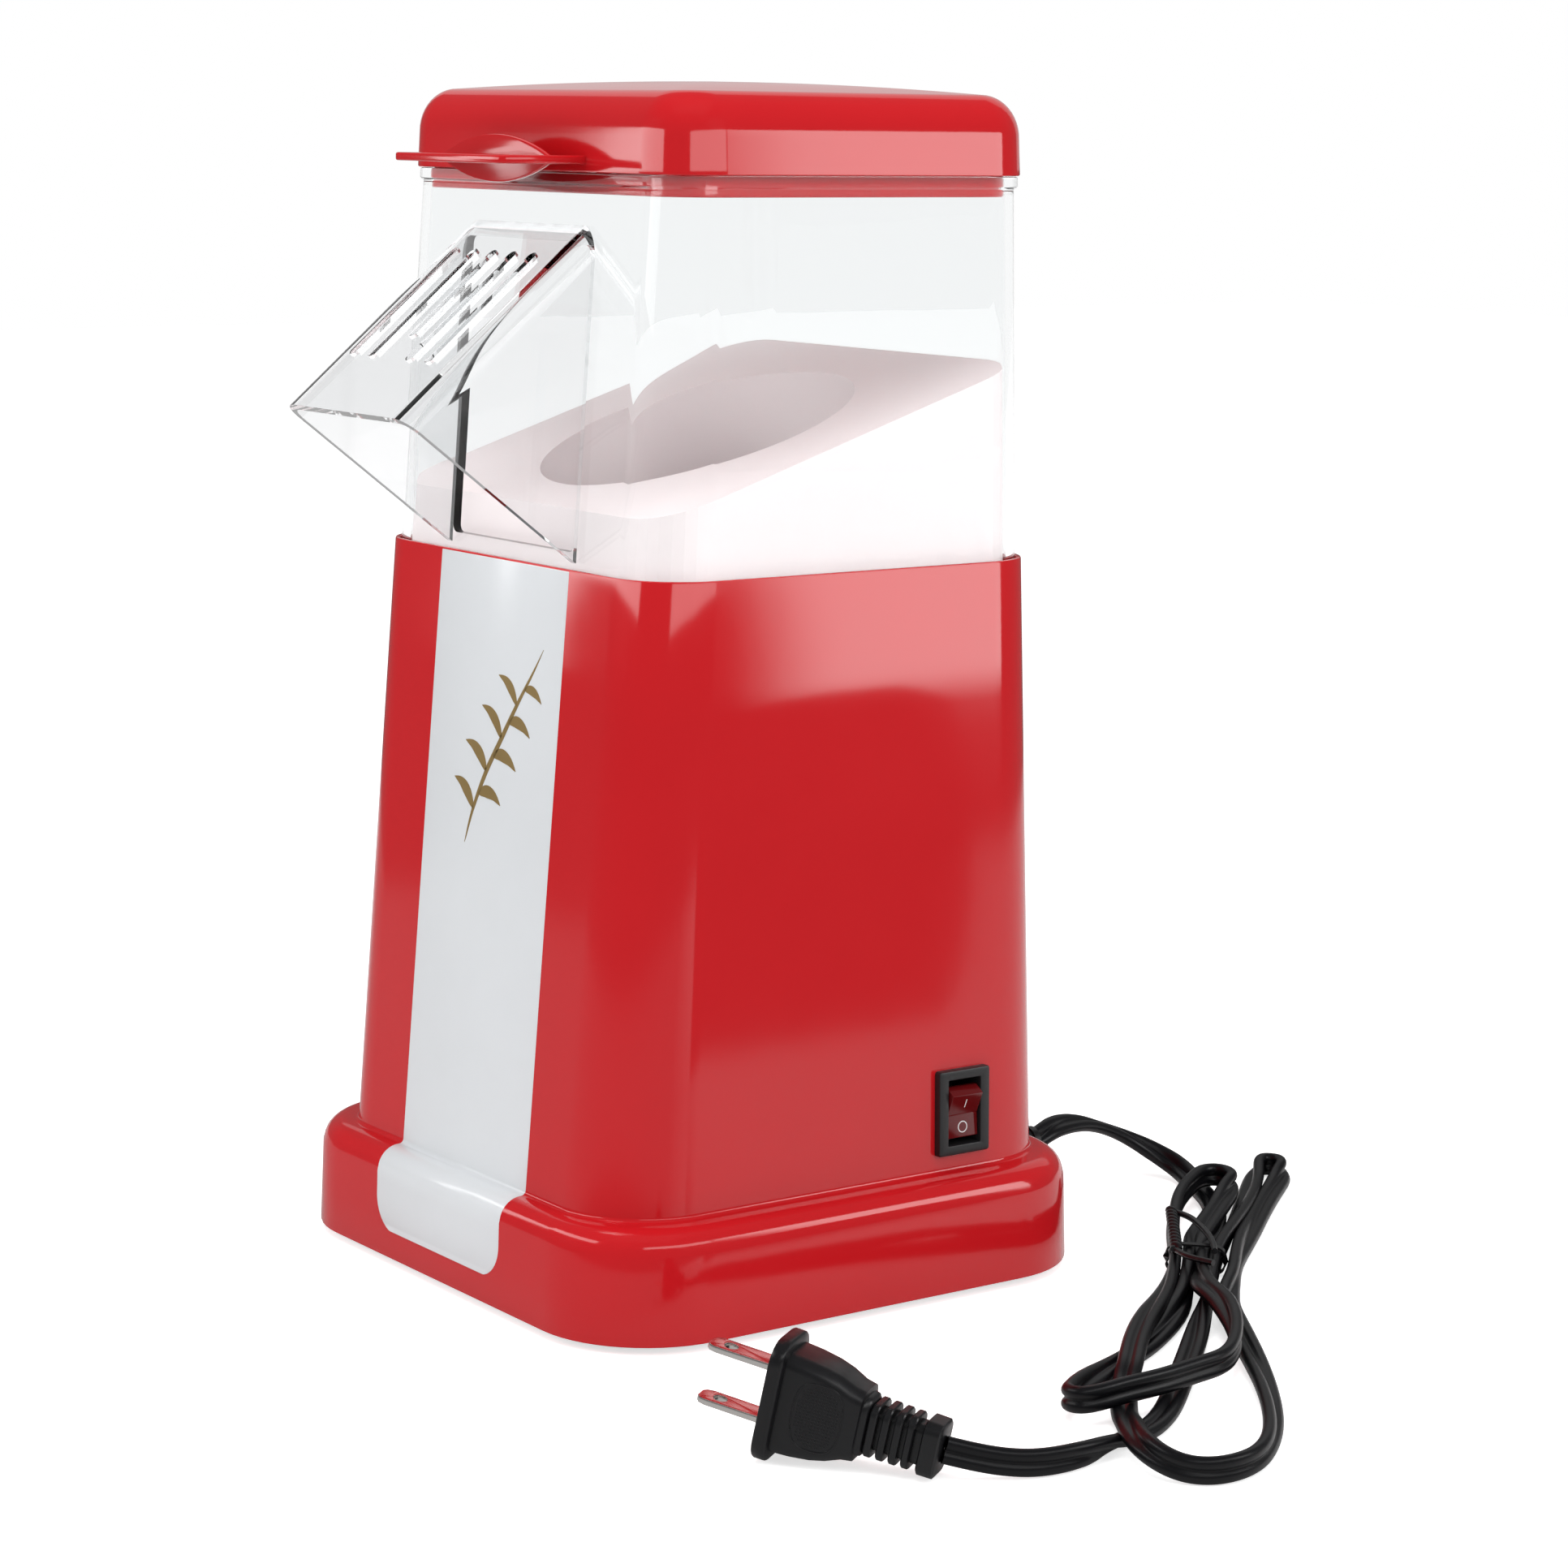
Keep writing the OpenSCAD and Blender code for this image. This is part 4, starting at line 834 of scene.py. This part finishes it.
def makeSwitch(s):
    at = sideWallPlace(s)
    w, h, hw, hh, top = s["w"], s["h"], s["holeW"], s["holeH"], s["proud"]
    boxW, boxH = s["boxW"], s["boxH"]
    steps = [(-s["deep"], hw, hh, 0.3), (top - 0.3, hw, hh, 0.3), (top - 0.08, hw + 0.15, hh + 0.15, 0.35),
             (top, hw + 0.5, hh + 0.5, 0.4), (top, w - 0.9, h - 0.9, 0.5), (top - 0.1, w - 0.4, h - 0.4, 0.6),
             (top - 0.4, w - 0.1, h - 0.1, 0.7), (0, w, h, 0.8), (0, boxW, boxH, 0.5), (-s["boxDeep"], boxW, boxH, 0.5)]
    obj = loftPiece("switchBezel", [across(at, *step) for step in steps], "blackMatte")
    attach(obj, "base")
    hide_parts("switch_body")
    pivot = at @ Matrix.Translation((-s["pivot"], 0, 0)) @ Matrix.Rotation(math.radians(s["turn"]), 4, "Y")
    half, dip, crest = s["rockerH"] / 2, s["valley"], s["valley"] + s["slope"]
    side = [(-3, -4), (-3, 4), (1.5, half - 0.6), (2.6, half - 0.4), (crest, half - 1.7), (dip, 0), (crest, 1.7 - half),
            (2.6, 0.4 - half), (1.5, 0.6 - half)]
    place = pivot @ Matrix.Translation((0, s["rockerW"] / 2, 0)) @ Matrix.Rotation(math.radians(90), 4, "X")
    rocker = prism("rocker", side, s["rockerW"], place, "rocker")
    bevel(rocker, 0.25, 20, 2)
    shade(rocker, 30)
    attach(rocker, "rocker")
    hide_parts("switch_rocker")
    lean = math.atan(s["slope"] / (half - 1.7))
    marks = []
    for sign in (1, -1):
        # each face rises from the valley; its frame has X out of the face and Z away from the valley
        face = pivot @ Matrix.Translation((dip, 0, 0)) @ Matrix.Rotation(sign * lean, 4, "Y")
        face = face @ Matrix.Translation((0, 0, sign * 3.3))
        if sign > 0:
            marks.append(loftPiece("markOne", [across(face, x, 0.26, 2.5, 0.12, 2) for x in (-0.2, 0.03)], "mark"))
        else:
            turn = [(math.cos(math.radians(a)), math.sin(math.radians(a))) for a in range(0, 360, 10)]
            sizes = ((-0.2, 1.5), (0.03, 1.5), (0.03, 1.24), (-0.2, 1.24))
            rings = [[face @ Vector((x, r * c, r * d)) for c, d in turn] for x, r in sizes]
            marks.append(loftPiece("markZero", rings, "mark", loop=True))
    sign = joinPieces("rockerMarks", marks)
    shade(sign, 30)
    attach(sign, "rocker")


makeSwitch(switch)
print("switch made")

# plug
plug = {"at": (183.5, -58, 6.9), "heading": 213.7, "tilt": 11.4, "length": 41, "faceW": 18, "faceH": 28.6, "ribs": 4,
        "ribFrom": 6.4, "ribPitch": 2.9, "bladeGap": 12.7, "bladeLen": 16.5, "bladeT": 1.5, "grip": 28.2, "dotPitch": 0.75,
        "profile": [(17.2, 9, 12.4), (17.8, 10.2, 13.6), (18.8, 10.6, 14), (19.1, 11.6, 16.6), (21.6, 12, 17.4),
                    (25, 12.8, 20.2), (28.5, 13.4, 22), (33, 13.9, 23.2), (37.3, 14, 23.8)]}


def plugPlace(s):
    turn, tilt = math.radians(s["heading"]), math.radians(-s["tilt"])
    return Matrix.Translation(s["at"]) @ Matrix.Rotation(turn, 4, "Z") @ Matrix.Rotation(tilt, 4, "Y")


def mouldHalf(s, x):
    # half the mould's thickness at distance x along it
    pairs = zip(s["profile"], s["profile"][1:])
    return next(lerp(p[1], q[1], (x - p[0]) / (q[0] - p[0])) for p, q in pairs if p[0] <= x <= q[0]) / 2


def dotGroup():
    # sets a small dome on each point
    inputs = [("Geometry", "Geometry"), ("Radius", "Float"), ("Material", "Material")]
    g, n, link, start, end = newGroup("gripDots", "GeometryNodeTree", inputs, [("Geometry", "Geometry")])
    ball = n.new("GeometryNodeMeshIcoSphere")
    ball.inputs["Subdivisions"].default_value = 2
    place = n.new("GeometryNodeInstanceOnPoints")
    link(start.outputs["Radius"], ball.inputs["Radius"])
    link(start.outputs["Geometry"], place.inputs["Points"])
    link(ball.outputs[0], place.inputs["Instance"])
    return closeGroup(g, place.outputs[0], start, end)


def dotPiece(name, points, radius, finish):
    data = bpy.data.meshes.new(name)
    data.from_pydata([Vector(p) * mm for p in points], [], [])
    obj = bpy.data.objects.new(name, data)
    scene.collection.objects.link(obj)
    g = dotGroup()
    mod = obj.modifiers.new("dots", "NODES")
    mod.node_group = g
    mod[socketId(g, "Radius")] = radius * mm
    mod[socketId(g, "Material")] = materials[finish]
    bake(obj)
    shade(obj, 60)
    return obj


def makePlug(s):
    at = plugPlace(s)
    end = s["length"]
    steps = [(0.4, 8.6, 11.6, 2), (0.8, 9.8, 12.8, 2.6), (4.2, 10, 13, 2.8), (4.6, 9, 12, 2.4), (4.8, 6.6, 9.6, 2)]
    for k in range(s["ribs"]):
        x, more = s["ribFrom"] + s["ribPitch"] * k, 0.4 * k
        edge, crest, dip = (8.6 + more, 12, 2.4), (9.2 + more, 12.6, 2.8), (6.6, 9.6, 2)
        steps += [(x, *dip), (x + 0.1, *edge), (x + 0.4, *crest), (x + 1.5, *crest), (x + 1.8, *edge), (x + 1.9, *dip)]
    steps += [(17, 6.6, 9.6, 2)] + [(x, w, h, 3.2) for x, w, h in s["profile"]]
    face = ((3.5, 1.6, 5), (3.2, 0.4, 5.2), (2.8, 0, 5.4), (0.6, 0, 5.4), (0.15, 0.5, 5.2), (0, 1.4, 5))
    steps += [(end - back, s["faceW"] - less, s["faceH"] - less, r) for back, less, r in face]
    obj = loftPiece("plugBody", [across(at, *step) for step in steps], "blackSatin", smooth=40)
    grip = []
    outline = []
    for side in (1, -1):
        for i in range(-7, 8):
            for j in range(-9, 10):
                away, z = s["dotPitch"] * i, s["dotPitch"] * j
                if (abs(away) / 4.7) ** 3 + (abs(z) / 6.9) ** 3 < 1:
                    x = s["grip"] + away
                    grip.append(at @ Vector((x, side * (mouldHalf(s, x) - 0.06), z)))
        loop = []
        for k in range(49):
            a = math.radians(7.5 * k)
            x, z = s["grip"] + 5.6 * squared(math.cos(a), 0.67), 7.8 * squared(math.sin(a), 0.67)
            loop.append(tuple(at @ Vector((x, side * (mouldHalf(s, x) - 0.05), z))))
        outline.append(sweep("gripEdge", loop, None, roundSection(0.22), "blackSatin"))
    dots = dotPiece("gripDots", grip, 0.24, "blackSatin")
    mould = joinPieces("plugMould", [obj, dots] + outline)
    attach(mould, "base")
    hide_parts("plug_body")
    blades = []
    for side in (1, -1):
        place = at @ Matrix.Translation((end - 3, 0, (side * s["bladeGap"] - s["bladeT"]) / 2))
        long = s["bladeLen"] + 3
        tip = [(long - 2.2, -3.17), (long - 0.7, -2.6), (long, -1.5)]
        shape = [(0, -3.17)] + tip + [(x, -y) for x, y in tip[::-1]] + [(0, 3.17)]
        blade = prism("blade", shape, s["bladeT"], place, "plated")
        ringOf = [(long - 4.9 + x, y) for x, y in roundSection(1.6, 36)]
        hole = prism("bladeHole", ringOf, 4, place @ Matrix.Translation((0, 0, -1)), "plated")
        cutWith(blade, [hole])
        tidyNormals(blade)
        bevel(blade, 0.22, 40, 2)
        shade(blade, 35)
        blades.append(blade)
    pair = joinPieces("plugBlades", blades)
    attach(pair, "base")
    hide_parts("plug_blades")


makePlug(plug)
print("plug made")

# wire tie
tie = {"at": (97.4, 91.9, 4.2), "angle": 43, "half": (7.55, 3.75), "wire": 0.85, "band": (1.1, 0.25), "turns": 6,
       "twistFrom": (101, 82, 9.2), "twistTo": (74, 104, 9.6),
       "ends": ([(116.3, 80.8, 9.6), (108, 80, 9.3), (101, 82, 9.0)],
                [(107.9, 88.9, 9.3), (98, 96, 9.6), (84, 102.5, 9.9), (74, 104, 9.6)])}


def makeTie(s):
    across, up = Vector((math.cos(math.radians(s["angle"])), math.sin(math.radians(s["angle"])), 0)), Vector((0, 0, 1))
    turn = []
    for k in range(37):
        a = math.radians(10 * k + 100)
        u, z = s["half"][0] * squared(math.cos(a), 0.5), s["half"][1] * squared(math.sin(a), 0.5)
        turn.append(tuple(Vector(s["at"]) + across * u + up * z))
    w, h = s["band"]
    wires = [sweep("tieTurn", turn, None, [(w, h), (-w, h), (-w, -h), (w, -h)], "blackSatin")]
    # the two ends run over the bundle and are twisted together beside it
    for k, pts in enumerate(s["ends"]):
        line = [tuple(p[:3]) for p in smoothRoute([(*p, 0) for p in pts], 8)]
        wires.append(sweep("tieEnd%d" % k, line, None, roundSection(s["wire"]), "blackSatin"))
    a, b = Vector(s["twistFrom"]), Vector(s["twistTo"])
    sideways = (b - a).normalized().cross(up).normalized()
    for phase in (0, math.pi):
        twist = []
        for k in range(121):
            angle = phase + 2 * math.pi * s["turns"] * k / 120
            away = (sideways * math.cos(angle) + up * math.sin(angle)) * s["wire"] * 0.95
            twist.append(tuple(a.lerp(b, k / 120) + away))
        wires.append(sweep("tieTwist", twist, None, roundSection(s["wire"]), "blackSatin"))
    obj = joinPieces("wireTie", wires)
    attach(obj, "base")
    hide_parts("twist_tie")


makeTie(tie)
print("tie made")

# floor, world and lamps
# the last two entries set where and how strongly a painted shade darkens the floor in reflections
stage = {"world": 0.5, "mirrored": 0.16, "floorEdge": (0.8, 0.9), "floorLift": 0.66,
         "paintedShadeSpan": (-0.1, 0.1), "paintedShadeShare": 0.62}


def mapRange(tree, value, span, result=(0, 1), smooth=False):
    node = tree.nodes.new("ShaderNodeMapRange")
    if smooth:
        node.interpolation_type = "SMOOTHSTEP"
    for label, number in zip(("From Min", "From Max", "To Min", "To Max"), (*span, *result)):
        node.inputs[label].default_value = number
    tree.links.new(value, node.inputs["Value"])
    return node.outputs[0]


def mixShader(tree, share, first, second):
    node = tree.nodes.new("ShaderNodeMixShader")
    for k, socket in enumerate((share, first, second)):
        tree.links.new(socket, node.inputs[k])
    return node.outputs[0]


def emission(tree, strength):
    node = tree.nodes.new("ShaderNodeEmission")
    feed(tree, strength, node.inputs["Strength"])
    return node.outputs[0]


def objectPlace(tree):
    # the Object coordinate, whole and in parts
    whole = tree.nodes.new("ShaderNodeTexCoord").outputs["Object"]
    parts = tree.nodes.new("ShaderNodeSeparateXYZ")
    tree.links.new(whole, parts.inputs[0])
    return whole, parts.outputs


def seenDirectly(tree, glossyShare=0):
    # 1 where the camera looks straight or through a clear piece, and a share of it in reflections
    path = tree.nodes.new("ShaderNodeLightPath").outputs
    clear = mathNode(tree, "MAXIMUM", path["Is Transmission Ray"], path["Is Singular Ray"])
    seen = mathNode(tree, "MAXIMUM", path["Is Camera Ray"], clear)
    if glossyShare:
        seen = mathNode(tree, "MULTIPLY_ADD", path["Is Glossy Ray"], glossyShare, seen, clamp=True)
    return seen, path


def makeWorld(s):
    w = bpy.data.worlds.new("studio")
    scene.world = w
    w.use_nodes = True
    tree = w.node_tree
    soft = tree.nodes["Background"]
    dark, white = (tree.nodes.new("ShaderNodeBackground") for k in range(2))
    for node, level in ((soft, s["world"]), (dark, 0), (white, 1)):
        node.inputs["Color"].default_value = (level, level, level, 1)
    seen, path = seenDirectly(tree, s["mirrored"])
    base = mixShader(tree, path["Is Glossy Ray"], soft.outputs[0], dark.outputs[0])
    tree.links.new(mixShader(tree, seen, base, white.outputs[0]), tree.nodes["World Output"].inputs["Surface"])


def makeFloor(s):
    bpy.ops.mesh.primitive_plane_add(size=8, location=(0, 0, 0))
    floor = bpy.context.object
    floor.name = "floor"
    m, tree, bsdf = nodeTree("floorWhite")
    n, link = tree.nodes, tree.links.new
    for label, value in {"Base Color": (0.86, 0.86, 0.86, 1), "Roughness": 0.8, "Specular IOR Level": 0.1}.items():
        bsdf.inputs[label].default_value = value
    seen, path = seenDirectly(tree)
    near = n.new("ShaderNodeAddShader")
    link(bsdf.outputs[0], near.inputs[0])
    link(mixShader(tree, seen, emission(tree, 0), emission(tree, s["floorLift"])), near.inputs[1])
    # in reflections it dims far away, and towards the front a painted shade darkens it, standing in for the object's
    # shadow on the table
    whole, parts = objectPlace(tree)
    length = n.new("ShaderNodeVectorMath")
    length.operation = "LENGTH"
    link(whole, length.inputs[0])
    far = mapRange(tree, length.outputs["Value"], s["floorEdge"])
    # painted shade: towards the front the floor's reflection is darkened
    front = mapRange(tree, parts["Y"], s["paintedShadeSpan"], (s["paintedShadeShare"], 0))
    dull = mathNode(tree, "SUBTRACT", path["Is Glossy Ray"], path["Is Singular Ray"])
    share = mathNode(tree, "MULTIPLY", mathNode(tree, "MAXIMUM", far, front), dull, clamp=True)
    link(mixShader(tree, share, near.outputs[0], emission(tree, s["mirrored"])), n["Material Output"].inputs["Surface"])
    floor.data.materials.append(m)


def areaLamp(name, place, target, size, power):
    data = bpy.data.lights.new(name, "AREA")
    data.shape = "SQUARE"
    data.size = size
    data.energy = power
    obj = bpy.data.objects.new(name, data)
    scene.collection.objects.link(obj)
    obj.location = place
    obj.rotation_euler = (Vector(target) - Vector(place)).to_track_quat("-Z", "Y").to_euler()
    obj.visible_glossy = False


def studioCard(name, outline, left, right, strength, fades=None):
    # a softbox or a black flag that shows in reflections alone; outline in mm along it and up
    a, b = Vector((*left, 0)), Vector((*right, 0))
    along = (b - a).normalized()
    mid = (a + b) / 2
    data = bpy.data.meshes.new(name)
    verts = [(mid + along * x + Vector((0, 0, z))) * mm for x, z in outline]
    data.from_pydata(verts, [], [tuple(range(len(outline)))])
    obj = bpy.data.objects.new(name, data)
    scene.collection.objects.link(obj)
    m = bpy.data.materials.new(name)
    m.use_nodes = True
    tree = m.node_tree
    tree.nodes.remove(tree.nodes["Principled BSDF"])
    if fades:
        # the lower edge and the edge towards the front fade between two places in metres
        whole, parts = objectPlace(tree)
        low = mapRange(tree, parts["Z"], fades["z"], (fades["least"], strength), smooth=True)
        strength = mathNode(tree, "MULTIPLY", low, mapRange(tree, parts["Y"], fades["y"], smooth=True))
    path = tree.nodes.new("ShaderNodeLightPath").outputs
    clear = tree.nodes.new("ShaderNodeBsdfTransparent").outputs[0]
    face = mixShader(tree, path["Is Singular Ray"], emission(tree, strength), clear)
    tree.links.new(face, tree.nodes["Material Output"].inputs["Surface"])
    data.materials.append(m)
    obj.visible_camera = obj.visible_diffuse = obj.visible_transmission = obj.visible_shadow = False


def softbox(name, size, middle, left, right, strength, fades=None):
    studioCard(name, [(x, z + middle) for x, z in roundedRect(*size)], left, right, strength, fades)


makeWorld(stage)
makeFloor(stage)
areaLamp("topSoftbox", (0.2, -0.2, 1.5), (0, 0, 0.1), 1.2, 13)
areaLamp("rightSoftbox", (1.4, 0.3, 0.8), (0, 0, 0.15), 0.8, 8)
areaLamp("leftSoftbox", (-0.6, -1.3, 0.7), (0, 0, 0.15), 0.8, 7)
sideFades = {"z": (0.08, 0.15), "least": 0.3, "y": (0.215, 0.29)}
flagOutline = [(-160, 2), (-160, 98), (-95, 101), (-72, 108), (-60, 122), (-40, 132), (-10, 136), (25, 135), (45, 124),
               (58, 106), (65, 80), (66, 45), (60, 18), (48, 2)]
softbox("sideSoftbox", (300, 340, 20), 230, (480, 222), (428, 510), 5.5, sideFades)
softbox("frontSoftbox", (75, 140, 8), 235, (-430, -315), (-364, -329), 4)
softbox("lidSoftbox", (132, 110, 8), 325, (-386, -323), (-258, -356), 4.5)
softbox("cornerSoftbox", (340, 110, 8), 325, (-258, -357), (69, -445), 4.5)
softbox("nearSoftbox", (330, 120, 8), 345, (500, -380), (540, -60), 3.5)
softbox("lidSideSoftbox", (290, 120, 8), 345, (540, -60), (483, 221), 3.5)
softbox("backSoftbox", (900, 640, 60), 600, (-720, 150), (-150, 720), 0.6)
studioCard("sideFlag", flagOutline, (355, 147), (337, 271), 0.14)
scene.view_settings.view_transform = "Standard"
for name in ("clearHood", "pourChute"):
    bpy.data.objects[name].visible_shadow = False
print("stage made")
